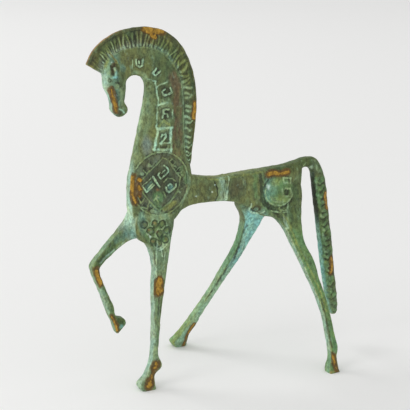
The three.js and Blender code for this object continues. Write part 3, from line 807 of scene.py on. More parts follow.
for side in (NEAR, FAR):
    patch(side, DOT_FIELD, [8.6, 7.6], -0.12, "fern", 0.7, flat=0.7)
    stroke(side, BAND_OVER_DOTS, 2.6, 0, "leaf", 0.55)
    for x, z in DOTS:
        dot = {"x": x, "z": z, "rx": DOT_RADIUS, "rz": DOT_RADIUS}
        stroke(side, oval(dot, DOT_CORNERS, grow=0.45), 1.4, -0.3, "soot", 0.55, loop=True)
        rim = oval(dot, DOT_CORNERS, grow=1.1)
        first = int(x * 3 + z) % DOT_CORNERS
        stroke(side, (rim + rim)[first:first + PALE_CORNERS], 0.8, 0.05, "leaf", 0.75)
        patch(side, [x, z], [DOT_RADIUS, DOT_RADIUS], 0.5, "umber", 0.9, flat=0.3)
    for points in FLUTES:
        stroke(side, points, 0.9, -0.25, "umber", 0.6)
for x, z in RUSTY_DOTS:
    patch(NEAR, [x, z], [1.3, 1], 0, "rust", flat=0.2)
for x, z in GREEN_DOTS:
    patch(NEAR, [x, z], [1.2, 1.2], 0, "fern", 0.7, flat=0.2)
patch(NEAR, [-42.4, 79.2], [4, 2], 0, "pale", 0.45, turn=20, flat=0.2)
for width, points in VINE:
    stroke(NEAR, points, width, 0.28, "pale", 0.8)
stroke(NEAR, [[-49.4, 87.6], [-48.2, 85.6]], 0.8, 0.2, "chalk")


# The barrel: a worn lobe behind the shoulder, a broad strap with a thin raised line, a dark
# field and a sunk edge in front of the rump.
LOBE_EDGE = [[-6.8, 111.6], [-5.3, 108.1], [-4.9, 104.4], [-6.1, 101]]
STRAP = [[-2, 114], [-2, 107], [-2.4, 100.6]]
STRAP_LINE = [[2.5, 114.4], [1.4, 108.5], [0.7, 101]]
MOAT = [[23, 113], [23.6, 106], [23.6, 98], [27.4, 93.8], [32, 90.4], [35.4, 87]]
BARREL_MARKS = [
    [[-12.4, 107], [7, 7], 0.16, "umber", 0.35, 0.8, 0, 3],
    [STRAP, 6.4, 0.05, "sage", 1],
    [LOBE_EDGE, 1.0, -0.3, "soot", 0.95],
    [[[-1.4, 113], [-1.4, 101]], 4.4, 0, "bloom", 0.8],
    [STRAP_LINE, 1, 0.32, "pale"],
    [[[0.4, 113.4], [-0.8, 107], [-1.2, 101.4]], 0.7, -0.2, "moss", 0.7],
    [MOAT, 2.4, -0.4, "soot", 0.75],
]
WORN_BARREL = [
    [[8, 106.8], [6.6, 7], -0.06, "umber", 0.5, 0.6, 0, 3],
    [[[10.8, 112.4], [11.9, 108]], 0.7, 0.1, "sage", 0.5],
    [[[13.1, 108], [12.6, 102]], 0.6, 0.1, "sage", 0.4],
    [[[19.4, 113], [19.8, 101]], 3, 0, "fern", 0.55],
    [[[-22, 116.2], [-22.8, 110], [-25.5, 105.2], [-28.3, 99.3]], 1.1, 0.15, "leaf", 0.6],
    # painted top light: straw along the barrel's back line
    [[[-18, 114.9], [-4.3, 112.8], [13.4, 113.6], [26, 114.4]], 1, 0.05, "straw", 0.4],
]
CHALK_SPECKS = [[-6.6, 110.2], [-8.6, 106.3], [-18.6, 104.8]]

for side in (NEAR, FAR):
    mark(side, BARREL_MARKS)
mark(NEAR, WORN_BARREL)
for x, z in CHALK_SPECKS:
    patch(NEAR, [x, z], [0.7, 0.6], 0.1, "chalk", 0.85)


# The rump: a low round boss with small framed squares down its hind edge, and under it a knob
# on the far thigh.
RUMP = {"x": 35.4, "z": 102.2, "rx": 9.4, "rz": 8.6}
RUMP_HOLLOW = [40.2, 100.8]
FRAMES = [
    [[37.8, 109.6], [38.1, 106.5], [43.1, 106.1], [43.1, 108.9], [37.8, 109.6]],
    [[37.3, 103.3], [37.6, 98.8], [43.1, 98.2], [42.9, 102.7], [37.3, 103.3]],
    [[35, 92.6], [35.3, 90.9], [39.3, 90.4]],
    [[30, 91], [34.2, 89.9], [38.9, 89.4]],
]
WORN_RUMP = [
    [[30.6, 103.6], [5, 6], 0, "sea", 0.8, 0.2],
    [[36, 97.4], [7, 3.4], 0, "straw", 0.7, 0.2, -10],
    [[33, 107.4], [6, 3], 0, "straw", 0.5, 0.2, 10],
    [[36, 99.4], [6, 3.4], 0, "moss", 0.55, 0.2, -20],
    [[[28.6, 99.6], [32, 96.6], [37, 95.4]], 1.4, 0.1, "leaf", 0.6],
    # painted highlight: a chalk spot on the upper left of the boss
    [[28, 105.4], [1.8, 2.2], 0.1, "chalk", 0.85, 0.2],
    [[[47.2, 105], [45.3, 93], [43.2, 82]], 4.6, 0, "moss", 0.7],
    [[[41.2, 94], [40.2, 91.5], [39.3, 80]], 0.8, 0.15, "leaf", 0.7],
    [[21, 93], [3, 2.8], -0.3, "umber", 0.85, 0.7],
    [[20.8, 92.8], [1.6, 1.4], 0.5, "sea", 0.7],
    [[[17.1, 96.4], [17.6, 92], [19.6, 90], [23.4, 89.4], [26, 91]], 1, 0.25, "pale"],
]

for side in (NEAR, FAR):
    patch(side, [RUMP["x"], RUMP["z"]], [RUMP["rx"], RUMP["rz"]], 0.42, "fern", flat=0.55)
    stroke(side, oval(RUMP)[22:40], 1.0, 0.25, "leaf", 0.7)
    stroke(side, oval(RUMP)[38:47], 0.9, 0.2, "leaf", 0.75)
    stroke(side, oval(RUMP, grow=1.3)[18:46], 1.4, -0.3, "soot", 0.65)
patch(NEAR, RUMP_HOLLOW, [1.9, 1.9], -0.6, "soot", 0.95, flat=0.7, square=4)
for points in FRAMES:
    stroke(NEAR, points, 1, 0.4, "leaf", 0.85)
mark(NEAR, WORN_RUMP)


# The locks: strands of hair raised on the crest, thin and wavy with dark hollows between them,
# and low on the neck short level rungs. A smooth rim runs round the outside.
LOCKS = 42  # each with a long and a short strand
STRAND = (0.09, 0.17)  # half a strand's width, as a share of its lock
SWING = (0.08, 0.32)  # how far it waves to and fro
LEAN = (-0.25, 0.45)  # how far it slants
WAVES = 5
STRAND_COATS = ("sage", "leaf", "pale", "verdigris", "sage", "leaf")
LOCK_RISE = 0.46
HOLLOW_DEPTH = 0.3
RIM_START = 0.84  # share of the way out
RUNGS_FROM = 0.69  # share of the way along, where the strands turn into rungs
RUNGS = 15
RUNG_WIDTH = 0.17
MANE_FRONT = -28.5  # the hair lies behind this x on the neck
POLL = 176  # above this z over the head
FORELOCK = -70  # and before this x on the face
MANE_FOOT = 120
HAIR_HALF = 3.4  # half its thickness


def chart(stations, chosen, rows=800, columns=24):
    """How far along the stations, and how far across, each chosen spot lies."""
    made = between(stations, np.linspace(0, 1, rows))
    share = np.linspace(-0.1, 1.1, columns)
    x = made[:, 0:1] + (made[:, 2:3] - made[:, 0:1]) * share[None, :]
    z = made[:, 1:2] + (made[:, 3:4] - made[:, 1:2]) * share[None, :]
    tree = KDTree(rows * columns)
    for i, (px, pz) in enumerate(zip(x.ravel(), z.ravel())):
        tree.insert((px, 0, pz), i)
    tree.balance()
    found = [tree.find((px, 0, pz)) for px, pz in zip(spots[chosen, 0], spots[chosen, 2])]
    index = np.array([hit[1] for hit in found])
    gap = np.array([hit[2] for hit in found])
    return index // columns / (rows - 1), share[index % columns], gap


by_crest = (spots[:, 0] > MANE_FRONT) | (spots[:, 2] > POLL) | (spots[:, 0] < FORELOCK)
zone = np.nonzero((spots[:, 2] > MANE_FOOT) & (np.abs(spots[:, 1]) < HAIR_HALF) & by_crest)[0]
along, across, gap = chart(CREST, zone)
out = 1 - across
kept = (gap < 0.6) & (out > -0.02) & (out < 1.02)
zone, along, out = zone[kept], along[kept], out[kept]
faced = ramp(np.abs(normals[zone, 1]), 0.3, 0.7)
on_crest = ramp(out, 0, 0.06)
low_neck = ramp(along, RUNGS_FROM - 0.03, RUNGS_FROM + 0.02)
rim = ramp(out, RIM_START, RIM_START + 0.06)
paint(zone, on_crest * (0.85 - 0.35 * blotch[zone]), "moss")
paint(zone, on_crest * (1 - ramp(along, 0.3, 0.42)) * (1 - ramp(out, 0.15, 0.5)) * 0.8, "slate")
paint(zone, on_crest * ramp(along, 0.42, 0.6) * (1 - rim) * 0.5 * blotch[zone], "straw")
paint(zone, low_neck * (1 - ramp(out, 0.4, 0.6)) * 0.5, "sage")
paint(zone, 0.25 * on_crest * (1 - rim) * broad[zone], "tan")
paint(zone, rim * 0.8, "umber")

draw = np.random.default_rng(11)
hair = np.zeros(len(zone))
for k in range(2 * LOCKS):
    short = k % 2
    middle = (k / 2 + 0.5 + draw.uniform(-0.24, 0.24)) / LOCKS
    swing = draw.uniform(*SWING) / LOCKS
    turn = draw.uniform(0, 2 * np.pi)
    lean = draw.uniform(*LEAN) / LOCKS
    start = draw.uniform(0.02, 0.34 if short else 0.14)
    end = draw.uniform(0.4, 0.66) if short else draw.uniform(0.66, 0.88)
    wide = draw.uniform(*STRAND) * (0.7 if short else 1) / LOCKS
    pale = draw.uniform(0.1, 1) ** 1.4 * (0.55 if middle < 0.1 or middle > 0.42 else 1)
    colour = STRAND_COATS[draw.integers(len(STRAND_COATS))]
    path = middle + swing * np.sin(turn + WAVES * out) + lean * (out - 0.5)
    body = np.exp(-(((along - path) / wide) ** 2) / 2)
    ends = ramp(out, start - 0.05, start + 0.06) * (1 - ramp(out, end - 0.14, end + 0.04))
    lock = body * ends * (1 - low_neck) * (0.35 if middle < 0.11 else 0.6 if short else 1)
    hair = np.maximum(hair, lock)
    paint(zone, pale * ramp(lock, 0.35, 0.9) * faced * (1 - 0.5 * grain[zone]), colour)
    fork = ramp(out, 0.02, 0.08) * (1 - ramp(out, 0.16, 0.24)) * (1 - low_neck)
    root = np.exp(-(((along - middle) / (1.6 * wide)) ** 2) / 2) * fork
    paint(zone, 0.35 * root * faced, "verdigris")
rung_height = (along - RUNGS_FROM) / (1 - RUNGS_FROM) * RUNGS + 0.12 * np.sin(9 * out)
for k in range(RUNGS):
    start, end = draw.uniform(0.05, 0.2), draw.uniform(0.55, 0.86)
    strong = draw.uniform(0.6, 1) if k > 4 else draw.uniform(0.2, 0.7)
    curl = 0.35 * draw.uniform(-1, 1) * ramp(out, end - 0.25, end)
    off = rung_height - k - 0.5 - 0.25 * draw.uniform(-1, 1) + curl
    ends = ramp(out, start - 0.04, start + 0.06) * (1 - ramp(out, end, end + 0.08))
    rung = np.exp(-((off / RUNG_WIDTH) ** 2)) * ends * low_neck
    hair = np.maximum(hair, rung * strong)
    paint(zone, strong * rung * faced * (1 - 0.4 * grain[zone]), "verdigris")
hollow = (1 - hair) * (1 - rim) * on_crest
relief[zone] = faced * (LOCK_RISE * hair - HOLLOW_DEPTH * hollow + 0.08 * rim)
paint(zone, 0.75 * faced * ramp(hollow, 0.86, 1) * (0.2 + 0.8 * blotch[zone]), "soot")
border = np.exp(-((out - 0.03) / 0.04) ** 2) * faced
relief[zone] += 0.25 * border
paint(zone, (0.35 + 0.4 * low_neck) * border, "leaf")
bald = ramp(1 - faced, 0.3, 0.8) * ramp(out, 0.7, 0.9)
paint(zone, 0.7 * bald * (1 - ramp(along, 0.2, 0.34)), "tan")
paint(zone, 0.6 * bald * ramp(along, 0.24, 0.34), "moss")


# The plait: the tail's hair twisted like a rope, with a smooth strip down its front. The ridges
# are pale in small commas, each with a painted highlight along its upper left, and a dark stroke
# lies in the hollow under each.
PLAITS = 17
PLAIT_RISE = 0.42
COMMAS = 18
FIRST_COMMA = 104  # height of the top one
COMMA_STEP = 4.3
TAIL_START = 52
TAIL_TIP = 17
TAIL_HALF = 3.6  # half its thickness
BEND_LIGHTS = [  # where the tail turns over
    [[53, 114.6], [54.6, 116.6]],
    [[59, 117.6], [61.4, 116.9]],
    [[62.4, 114], [62.9, 111]],
]
WORN_BEND = [
    [[[62.3, 106.4], [63, 101.2], [64.8, 93.9], [65.6, 88.8]], 2, 0.1, "fern", 0.7],
    [[[62.3, 105], [63.2, 99]], 0.8, 0.1, "pale", 0.5],
    # painted shade: soot in the inside corner of the bend
    [[[60.4, 111.6], [60.6, 106]], 2.2, -0.1, "soot", 0.6],
    [[58.8, 113], [1.7, 2], 0, "bloom", 0.9, 0.3],
]

behind = (spots[:, 0] > TAIL_START) & (spots[:, 2] > TAIL_TIP)
zone = np.nonzero(behind & (np.abs(spots[:, 1]) < TAIL_HALF))[0]
along, across, gap = chart(TAIL, zone, rows=600, columns=14)
kept = gap < 0.9
zone, along, across = zone[kept], along[kept], across[kept]
hanging = ramp(along, 0.34, 0.44) * (1 - ramp(along, 0.95, 1))
turn = 2 * np.pi * (PLAITS * along + 0.55 * np.sign(spots[zone, 1]) * (across - 0.5))
strand = 0.5 + 0.5 * np.cos(turn + 0.5 * np.sin(9 * along * np.pi))
faced = ramp(np.abs(normals[zone, 1]), 0.3, 0.75) * ramp(across, 0.06, 0.3)
relief[zone] = hanging * faced * PLAIT_RISE * (ramp(strand, 0.15, 0.85) - 0.6)
paint(zone, hanging * (0.85 - 0.3 * blotch[zone]), "moss")
paint(zone, 0.5 * hanging * faced * ramp(1 - strand, 0.6, 1), "soot")
paint(zone, 0.55 * hanging * faced * ramp(strand, 0.7, 1) * blotch[zone], "fern")
# partly painted light: the teal front strip, a patina that also stands for the lamps' light on the
# front faces
paint(zone, 0.9 * hanging * faces_to["front"][zone] * (1 - 0.4 * blotch[zone]), "teal")
paint(zone, hanging * faces_to["front"][zone] * (1 - ramp(along, 0.5, 0.62)) * 0.8, "soot")
paint(zone, hanging * ramp(0.2 - across, 0, 0.12) * (1 - ramp(along, 0.52, 0.6)), "soot")
paint(zone, hanging * ramp(0.24 - across, 0, 0.12) * 0.6 * ramp(along, 0.6, 0.7), "sea")
# painted shade: umber in patches on the tail's back edge, the side turned from the lamps
paint(zone, 0.5 * hanging * ramp(across, 0.7, 0.9) * broad[zone], "umber")
paint(zone, 0.4 * ramp(along, 0.7, 0.9) * (1 - 0.5 * blotch[zone]), "sage")
for k in range(COMMAS):
    z = FIRST_COMMA - COMMA_STEP * k + 0.5 * math.sin(3 * k)
    x = 64.6 + 0.15 * (100 - z)
    turn = 1.1 * math.sin(5 * k)
    dark = 0.5 + 0.25 * math.sin(7 * k)
    light = 0.5 + 0.3 * math.sin(4 * k)
    bow = [[x - 1.3, z + 1.5 + turn], [x - 0.7, z - 0.3], [x + 0.9, z - 0.9],
           [x + 2.6, z + 0.4 - turn]]
    stroke(NEAR, [[px + 0.3, pz - 1.4] for px, pz in bow], 1.5, -0.3, "soot", dark)
    stroke(NEAR, bow, 2.5, 0.3, "fern", 0.55)
    # painted highlight: a pale line along the upper left of each comma
    stroke(NEAR, bow[:3], 1.0, 0.35, "leaf", light if k < 13 else 0.4 * light)
mark(NEAR, WORN_BEND)
for points in BEND_LIGHTS:
    stroke(NEAR, points, 0.8, 0.05, "leaf", 0.65)


# The face: an upright leaf-shaped ear with a deep hollow, a lock of hair behind it, a small
# round eye, a cheek ring, a long straight nose, and a small muzzle with a cut mouth.
LOCK_BEHIND = [[-68.9, 187.8], [-67.2, 184.9], [-65.1, 182.2], [-64.4, 179], [-62.6, 175.3],
               [-62, 172.6]]
CHEEK = {"x": -65.6, "z": 169.6, "rx": 1.9, "rz": 2.3}
CHEEK_CORNERS = 14
LIP = [-63.6, 155.2]
MOUTH = [[-63.8, 157.4], [-62.2, 156.7], [-60.6, 155]]
FACE_MARKS = [
    [[-67.3, 179], [1.9, 4.2], -0.7, "umber", 0.9, 0.3, -8],
    [LOCK_BEHIND, 1.7, 0.5, "umber", 0.7],
    [[[-69.9, 182.2], [-69.6, 177.4], [-70.2, 174.6]], 1.2, 0.3, "sea", 0.6],
    [[-69.5, 173.2], [1.3, 1.5], -0.3, "soot", 0.9],
    [[-69.5, 173.3], [0.6, 0.7], 0.45, "sea", 0.5],
    [[-65.6, 169.7], [1.5, 1.9], 0.4, "sage", 0.7],
]
WORN_FACE = [
    [[-70.7, 184.4], [1.8, 3.8], 0, "straw", 0.85, 0.3, -6],
    [[-61.6, 178.6], [2.6, 3], -0.15, "sea", 0.85, 0.4],
    [[-61.4, 177.8], [2, 1.8], -0.1, "soot", 0.5, 0.2],
    [[[-68.9, 187.8], [-67.2, 184.9], [-65.3, 182.4], [-64.6, 180]], 1.5, 0.45, "straw", 0.5],
    [[[-68.6, 187.4], [-66.8, 184.6], [-65.3, 182.6]], 0.8, 0, "tan", 0.45],
    [[-67.4, 179], [2.2, 4], -0.1, "burnt", 0.9, 0.4, -8],
    [[[-68.5, 181], [-68.5, 178.6], [-67.7, 176.2]], 1.1, -0.5, "soot", 0.8],
    [[-66.7, 181.4], [2, 1.7], -0.1, "burnt", 0.9, 0.4],
    [[[-66.5, 179.4], [-66.2, 177.8], [-65.9, 176]], 1.1, 0.1, "verdigris", 0.8],
    [[-65.9, 177.2], [0.8, 1.4], 0, "teal", 0.8, 0.3],
    [[[-65, 181], [-64.2, 178], [-63.4, 174]], 1.6, -0.1, "moss", 0.8],
    [[[-68.4, 174.6], [-65.7, 174.8]], 1.1, 0.25, "teal", 0.85],
    [[-68.2, 182.5], [0.5, 0.5], 0.1, "chalk", 0.9],
    [[-65.4, 164.9], [0.7, 0.6], 0.1, "chalk"],
    [[[-66.2, 166.7], [-64.6, 162.4], [-64.8, 158.4]], 1.5, -0.15, "soot", 0.7],
    [[[-62.2, 176], [-62.4, 171]], 3, 0, "moss", 0.7],
    [[[-62.8, 168], [-62.6, 160]], 2.2, 0, "sage", 0.6],
    [[[-61.2, 154.6], [-59.8, 157]], 2, 0, "moss", 0.7],
    [[[-63.8, 154], [-64, 156.4]], 2, -0.05, "umber", 0.6],
    [[[-61.4, 157.8], [-59.8, 157.2]], 1.4, 0.1, "sage", 0.5],
]

for side in (NEAR, FAR):
    mark(side, FACE_MARKS)
    stroke(side, oval(CHEEK, CHEEK_CORNERS)[:5], 1.2, -0.3, "soot", 0.7)
    stroke(side, oval(CHEEK, CHEEK_CORNERS)[7:11], 1.6, -0.25, "soot", 0.75)
    patch(side, LIP, [2, 1.7], -0.2, "soot", 0.85, flat=0.3)
mark(NEAR, WORN_FACE)
for side in (NEAR, FAR):
    stroke(side, MOUTH, 0.65, -0.2, "verdigris", 0.8)


# The bones of the legs: thin lighter ridges and dark eaten seams, which run down the legs between
# their flat faces, from the shoulders and hips to the hooves.
SEAMS = [
    [[[-63, 86.6], [-70.2, 78.4], [-75, 71.4]], 6, 0, "moss", 0.8],
    [[[-58.4, 88], [-63.6, 83.8]], 5, 0, "sea", 0.55],
    [[[-64.6, 86.4], [-70.8, 79.4], [-75.6, 72.4]], 2.6, 0, "soot", 0.3],
    # painted highlight: a pale raised line along the lower edge of the raised foreleg's upper part
    [[[-74.1, 71.6], [-70.1, 75.4], [-65.5, 78.7], [-60, 82.4]], 1.1, 0.1, "bloom", 0.75],
    [[[-65.2, 90], [-72.8, 81], [-77.8, 73.4]], 0.9, 0.12, "leaf", 0.8],
    [[[47.6, 0.5], [50, 1], [52, 1.4]], 1.7, 0, "tan", 0.75],
    [[[-71.2, 56], [-68.4, 50.6], [-65.8, 44.6], [-64.8, 41]], 1.8, 0, "moss", 0.85],
    [[[-73.7, 57], [-71, 50], [-68.4, 43.4], [-66.6, 38]], 0.8, 0.1, "pale", 0.55],
    [[[-67, 47.7], [-65.4, 42.6]], 1.4, -0.1, "moss", 0.8],
    [[[34.6, 92], [39.7, 84], [42.6, 72], [47.8, 58], [52.6, 44], [54.4, 33]], 1.3, 0.12,
     "straw", 0.65],
    [[[37.4, 87], [38.4, 78], [41.6, 64], [46, 54.6]], 1.8, 0, "pale", 0.5],
    [[[52.2, 39.8], [53, 33.2], [52.9, 23.3], [53.3, 13.6]], 1.1, -0.2, "umber", 0.85],
    [[[-42.6, 55], [-43.7, 44.3], [-44.4, 37.2]], 1.4, 0, "moss", 0.75],
    [[[-47.8, 49], [-48.4, 40], [-48.8, 26]], 1.1, 0.1, "pale", 0.8],
    [[[-46, 49], [-46.4, 40], [-46.8, 24]], 0.7, -0.1, "fern", 0.7],
    [[[18.2, 82], [17.3, 76.6], [16.7, 65.8], [15.4, 59.1], [13.4, 55.2], [8.1, 43.3], [3, 33]],
     1.6, -0.15, "soot", 0.9],
    [[[19.4, 76], [19.4, 66], [17.6, 60]], 0.8, 0.1, "pale", 0.6],
    [[15.7, 62], [1.7, 2.2], -0.1, "soot", 0.75, 0.3, -30],
]

mark(NEAR, SEAMS)


# The rubbed places: where hands and cloths took the patina off and the yellow bronze shows, on
# the mane's top, the nose, the rim of the shield, the rump, the tail, the knees and the hooves.
# Each is [the line it follows, half the width of the bare bronze, the width of its brown border].
RUBBED = [
    [[[-48, 198.6], [-42, 198], [-37, 197.2]], 1.6, 0.9],
    [[[-44, 195.6], [-41.6, 194.2]], 0.8, 0.9],
    [[[-17.6, 157], [-18, 149]], 1, 0.9],
    [[[-68.6, 168.4], [-67.5, 164.4]], 0.35, 2],
    [[[-67.4, 164.1], [-66.1, 160.2], [-65.7, 155.8]], 0.6, 1.2],
    [[[-56.4, 120], [-57.3, 115.4], [-57.1, 110], [-55.8, 105.6]], 0.85, 1.8],
    [[[-53.4, 118], [-52.8, 117.4]], 0.7, 1],
    [[[-53.3, 113.8], [-52.6, 112.4]], 0.6, 1.2],
    [[[-53.4, 109], [-53, 108.4]], 0.4, 1],
    [[[28.2, 112.4], [31.5, 113.2], [36, 112.2], [41, 112.8]], 0.8, 1.7],
    [[[69.6, 96], [70.2, 92], [70.8, 87.6]], 1.1, 0.9],
    [[[75.2, 55.4], [75.4, 49], [74.8, 46.4]], 0.9, 1.5],
    [[[-44.2, 60], [-44.4, 54.6]], 2.3, 1.5],
    [[[-76.4, 67.4], [-75.2, 63.8], [-73.2, 59.4]], 0.85, 2.4],
    [[[-65.8, 38], [-63.8, 33.4], [-62.2, 28.4]], 0.45, 1.8],
    [[[-1.4, 15.3], [-3.4, 11.8], [-4.6, 8.6]], 0.7, 1.4],
    [[[-4.9, 8.2], [-5.6, 4], [-6.4, 1]], 0.2, 1.5],
    [[[-48.8, 13.4], [-49.8, 11.8]], 1, 2.4],
    [[[-50.6, 10], [-52.6, 6]], 0.25, 1.8],
    [[[-53.6, 4.2], [-54.8, 2.6]], 1.4, 2.4],
    [[[52.8, 9.2], [52.8, 7.4], [52.4, 5]], 0.55, 1.9],
    [[[52.6, 3], [53, 1.6]], 0.15, 2.4],
]

for points, half, border in RUBBED:
    at, gap, facing = drawn_near(NEAR, points, 1.4 * half + border + 0.8)
    gap = gap + 0.5 * half * (blotch[at] - 0.5)
    seen_flat = ramp(facing, 0.1, 0.5)
    paint(at, 0.9 * (1 - ramp(gap, half + 0.5 * border, half + border)) * seen_flat, "burnt")
    bare[at] = np.maximum(bare[at], (1 - ramp(gap, 0.4 * half, 1.5 * half + 0.3)) * seen_flat)


# The finished casting: the relief pressed into the skin, the surface a little uneven as sand and
# wax leave it, old dirt in the hollows and a polish on the ridges that is partly a painted
# highlight, thinned to the triangles that the forms need, most of them on the side with the finest
# carving.
UNEVEN = 0.07
DIRT_REACH = 12  # how many times a copy is rounded, to find the hollows
BOX_MARGIN = 0.01  # the casting stays this far inside the box of its solid
FIRST_TRIANGLES = 262000  # after one thinning all round
CASTING_TRIANGLES = 192000  # after the plainer side is thinned once more
CARVED_SIDE = np.array([-0.456, -0.857, 0.242])  # towards the side with the finest carving
PLAINER = -0.15  # faces turned from it by more than this are thinned again
BRONZE = {"bright": coat((182, 144, 60)), "dull": coat((92, 70, 32))}
BARE_EDGE = 0.5  # how far bare a place must be to show bronze
BRUSHED = (1, 1, 0.6)  # stains and scratches are longer than wide
BUMP_DEPTH = 0.00014  # metres
WARM = (1.08, 1, 0.86, 1)
COOL = (0.92, 1, 1.02, 1)
# The mottling at each size: [cells to the metre, raggedness, where it begins, where it is full].
MOTTLING = {
    "warmth": [240, 4, 0.34, 0.66],
    "stains": [420, 3, 0.36, 0.64],
    "bloom": [520, 3, 0.58, 0.74],
    "pits": [600, 4, 0.3, 0.6],
    "edges": [700, 4, 0.2, 0.8],
    "fine": [900, 4, 0.36, 0.64],
    "specks": [1300, 3, 0.6, 0.74],
    "grit": [2400, 3, 0.35, 0.65],
}

swell = (np.sin(spots[:, 0] * 0.9 + spots[:, 2] * 0.5) + np.sin(spots[:, 2] * 1.15 - spots[:, 1])
         + np.sin(spots[:, 0] * 0.45 - spots[:, 2] * 0.8 + spots[:, 1] * 1.3))
relief += UNEVEN * (swell / 2 + 1.2 * (grain - 0.5))
carved = rounded(spots + normals * relief[:, None], 1, 0.25)
sunk = np.einsum("ij,ij->i", rounded(carved, DIRT_REACH) - carved, normals)
paint(whole, 0.6 * ramp(sunk, 0.03, 0.16), "soot")
# partly painted highlight: straw on the ridges, a polish that also stands for light on the edges
paint(whole, 0.4 * ramp(-sunk, 0.05, 0.22) * (1 - 0.6 * blotch), "straw")
low_corner, high_corner = (np.array(corner) * 1000 for corner in cad_box)
carved = np.clip(carved, low_corner + BOX_MARGIN, high_corner - BOX_MARGIN)
carved[:, 2] = np.maximum(carved[:, 2], 0)  # no sole goes through the floor

set_spots(casting, carved * 0.001)
coat_layer = casting.attributes.new("coat", "FLOAT_COLOR", "POINT")
coat_values = np.column_stack([tint, np.ones(len(tint))])
coat_layer.data.foreach_set("color", coat_values.ravel().astype("f"))
bare_layer = casting.attributes.new("bare", "FLOAT", "POINT")
bare_layer.data.foreach_set("value", np.clip(bare, 0, 1).astype("f"))
horse = bpy.data.objects.new("bronze_horse", casting)
bpy.context.scene.collection.objects.link(horse)
hidden = np.nonzero(normals @ CARVED_SIDE < PLAINER)[0]
group = horse.vertex_groups.new(name="plainer")
group.add(hidden.tolist(), 1.0, "REPLACE")
for wanted, which in ((FIRST_TRIANGLES, ""), (CASTING_TRIANGLES, group.name)):
    triangles = sum(len(p.vertices) - 2 for p in horse.data.polygons)
    if triangles > wanted:
        thin = horse.modifiers.new("thinned", "DECIMATE")
        thin.vertex_group = which
        thin.ratio = wanted / triangles
        drawn = horse.evaluated_get(bpy.context.evaluated_depsgraph_get())
        thinned = bpy.data.meshes.new_from_object(drawn)
        horse.modifiers.clear()
        thick = horse.data
        horse.data = thinned
        bpy.data.meshes.remove(thick)
horse.vertex_groups.clear()
horse.data.polygons.foreach_set("use_smooth", np.ones(len(horse.data.polygons), bool))
horse.data.update()


def patina_material():
    """Mottled patina over bronze that shows where the casting is rubbed bare."""
    material = bpy.data.materials.new("bronze_patina")
    material.use_nodes = True
    tree = material.node_tree
    shader = tree.nodes["Principled BSDF"]
    known = {**PATINA, **BRONZE}

    def make(kind, links=(), **settings):
        node = tree.nodes.new(kind)
        for name, value in settings.items():
            setattr(node, name, value)
        for socket, value in dict(links).items():
            if isinstance(value, bpy.types.NodeSocket):
                tree.links.new(value, node.inputs[socket])
            else:
                node.inputs[socket].default_value = value
        return node

    def plus(a, b):
        return make("ShaderNodeMath", {0: a, 1: b}, operation="ADD").outputs[0]

    def times(a, b):
        return make("ShaderNodeMath", {0: a, 1: b}, operation="MULTIPLY").outputs[0]

    def span(value, low, high):
        return make("ShaderNodeMapRange", {0: value, 1: low, 2: high},
                    interpolation_type="SMOOTHSTEP").outputs[0]

    def blend(base, colour, share, kind="MIX"):
        base, colour = ((*known[c], 1) if isinstance(c, str) else c for c in (base, colour))
        return make("ShaderNodeMix", {0: share, 6: base, 7: colour},
                    data_type="RGBA", blend_type=kind).outputs[2]

    place = make("ShaderNodeTexCoord").outputs["Object"]
    place = make("ShaderNodeVectorMath", {0: place, 1: BRUSHED}, operation="MULTIPLY").outputs[0]
    mottled = {}
    for name, (scale, detail, low, high) in MOTTLING.items():
        noise = make("ShaderNodeTexNoise", {"Vector": place, "Scale": scale, "Detail": detail})
        mottled[name] = span(noise.outputs["Fac"], low, high)
    fine, grit = mottled["fine"], mottled["grit"]

    laid = make("ShaderNodeAttribute", attribute_name="coat").outputs["Color"]
    warm = blend(laid, WARM, 1.0, "MULTIPLY")
    cool = blend(laid, COOL, 1.0, "MULTIPLY")
    colour = blend(warm, cool, mottled["warmth"])
    shade = plus(0.48, times(fine, 0.46))
    shade = plus(shade, times(grit, 0.3))
    shade = plus(shade, times(mottled["stains"], 0.36))
    shaded = make("ShaderNodeVectorMath", {0: colour, "Scale": shade}, operation="SCALE")
    colour = blend(shaded.outputs[0], "verdigris", times(mottled["bloom"], 0.18))
    colour = blend(colour, "soot", times(mottled["specks"], 0.5))

    worn = make("ShaderNodeAttribute", attribute_name="bare").outputs["Fac"]
    ragged = times(plus(mottled["edges"], -0.5), span(worn, 0, 0.2))
    edge = plus(worn, times(ragged, 0.9))
    metal = span(edge, BARE_EDGE, 0.7)
    pitted = times(mottled["pits"], plus(0.5, times(grit, 0.5)))
    pitted = plus(0.25, times(pitted, 0.75))
    gold = blend("dull", "bright", times(pitted, span(edge, 0.35, 0.95)))
    colour = blend(colour, "dull", span(edge, 0.2, BARE_EDGE))
    colour = blend(colour, gold, metal)

    roughness = plus(plus(0.46, times(fine, 0.2)), times(metal, -0.14))
    height = plus(times(fine, 0.6), times(grit, 0.4))
    bump = make("ShaderNodeBump", {"Height": height, "Strength": 0.4, "Distance": BUMP_DEPTH})
    tree.links.new(colour, shader.inputs["Base Color"])
    tree.links.new(times(metal, 0.6), shader.inputs["Metallic"])
    tree.links.new(roughness, shader.inputs["Roughness"])
    tree.links.new(bump.outputs["Normal"], shader.inputs["Normal"])
    shader.inputs["Specular IOR Level"].default_value = 0.3
    return material


horse.data.materials.clear()
horse.data.materials.append(patina_material())
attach(horse, "root")
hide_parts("horse")


# The floor: a plain pale sheet that the hooves stand on, wide enough to fill every view.
FLOOR_HALF = 30.0
FLOOR_GREY = 0.92
FLOOR_CORNERS = ((-1, -1), (1, -1), (1, 1), (-1, 1))

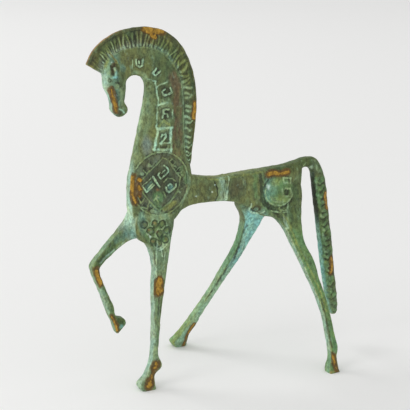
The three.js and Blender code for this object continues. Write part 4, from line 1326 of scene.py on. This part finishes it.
floor_mesh = bpy.data.meshes.new("floor")
floor_points = [(x * FLOOR_HALF, y * FLOOR_HALF, 0) for x, y in FLOOR_CORNERS]
floor_mesh.from_pydata(floor_points, [], [(0, 1, 2, 3)])
floor = bpy.data.objects.new("floor", floor_mesh)
bpy.context.scene.collection.objects.link(floor)
floor_material = bpy.data.materials.new("pale_paper")
floor_material.use_nodes = True
paper = floor_material.node_tree.nodes["Principled BSDF"]
paper.inputs["Base Color"].default_value = (FLOOR_GREY, FLOOR_GREY, FLOOR_GREY * 0.99, 1)
paper.inputs["Roughness"].default_value = 0.9
paper.inputs["Specular IOR Level"].default_value = 0.1
floor_mesh.materials.append(floor_material)


# The light: an overcast tent of white all round, a large soft box hung high behind the horse and
# a small one in front on the left.
TENT_WHITE = (1, 1, 1, 1)
TENT_STRENGTH = 0.72

world = bpy.data.worlds.new("white_tent")
world.use_nodes = True
tent = world.node_tree.nodes["Background"]
tent.inputs["Color"].default_value = TENT_WHITE
tent.inputs["Strength"].default_value = TENT_STRENGTH
bpy.context.scene.world = world


def soft_box(name, place, aim, size, power):
    """A round lamp that faces its aim, with its size in metres and its power in watts."""
    light = bpy.data.lights.new(name, "AREA")
    light.shape = "DISK"
    light.size = size
    light.energy = power
    box = bpy.data.objects.new(name, light)
    box.location = place
    box.rotation_mode = "QUATERNION"
    box.rotation_quaternion = (Vector(place) - Vector(aim)).to_track_quat("Z", "Y")
    bpy.context.scene.collection.objects.link(box)


soft_box("overhead_box", place=(-1.2, 2.2, 2.5), aim=(0.1, 1.0, 0), size=1.8, power=26)
soft_box("front_box", place=(-1.1, -0.2, 0.6), aim=(0, 0, 0.1), size=0.6, power=2.4)


# The camera: a long lens a little over half a metre away, higher than the horse and looking down
# on it a little, from its near side and turned towards its breast.
CAMERA_AZIMUTH = math.radians(-28)
CAMERA_ELEVATION = math.radians(14)
CAMERA_DISTANCE = 0.68
CAMERA_AIM = Vector((-0.0105, 0, 0.0979))
CAMERA_LENS = 105.44
CAMERA_FRAME = 36

camera = bpy.data.objects.new("camera", bpy.data.cameras.new("camera"))
bpy.context.scene.collection.objects.link(camera)
backward = Vector((
    math.sin(CAMERA_AZIMUTH) * math.cos(CAMERA_ELEVATION),
    -math.cos(CAMERA_AZIMUTH) * math.cos(CAMERA_ELEVATION),
    math.sin(CAMERA_ELEVATION),
))
camera.data.lens = CAMERA_LENS
camera.data.sensor_width = CAMERA_FRAME
camera.location = CAMERA_AIM + backward * CAMERA_DISTANCE
camera.rotation_mode = "QUATERNION"
camera.rotation_quaternion = backward.to_track_quat("Z", "Y")
bpy.context.scene.camera = camera
bpy.context.scene.view_settings.view_transform = "Standard"
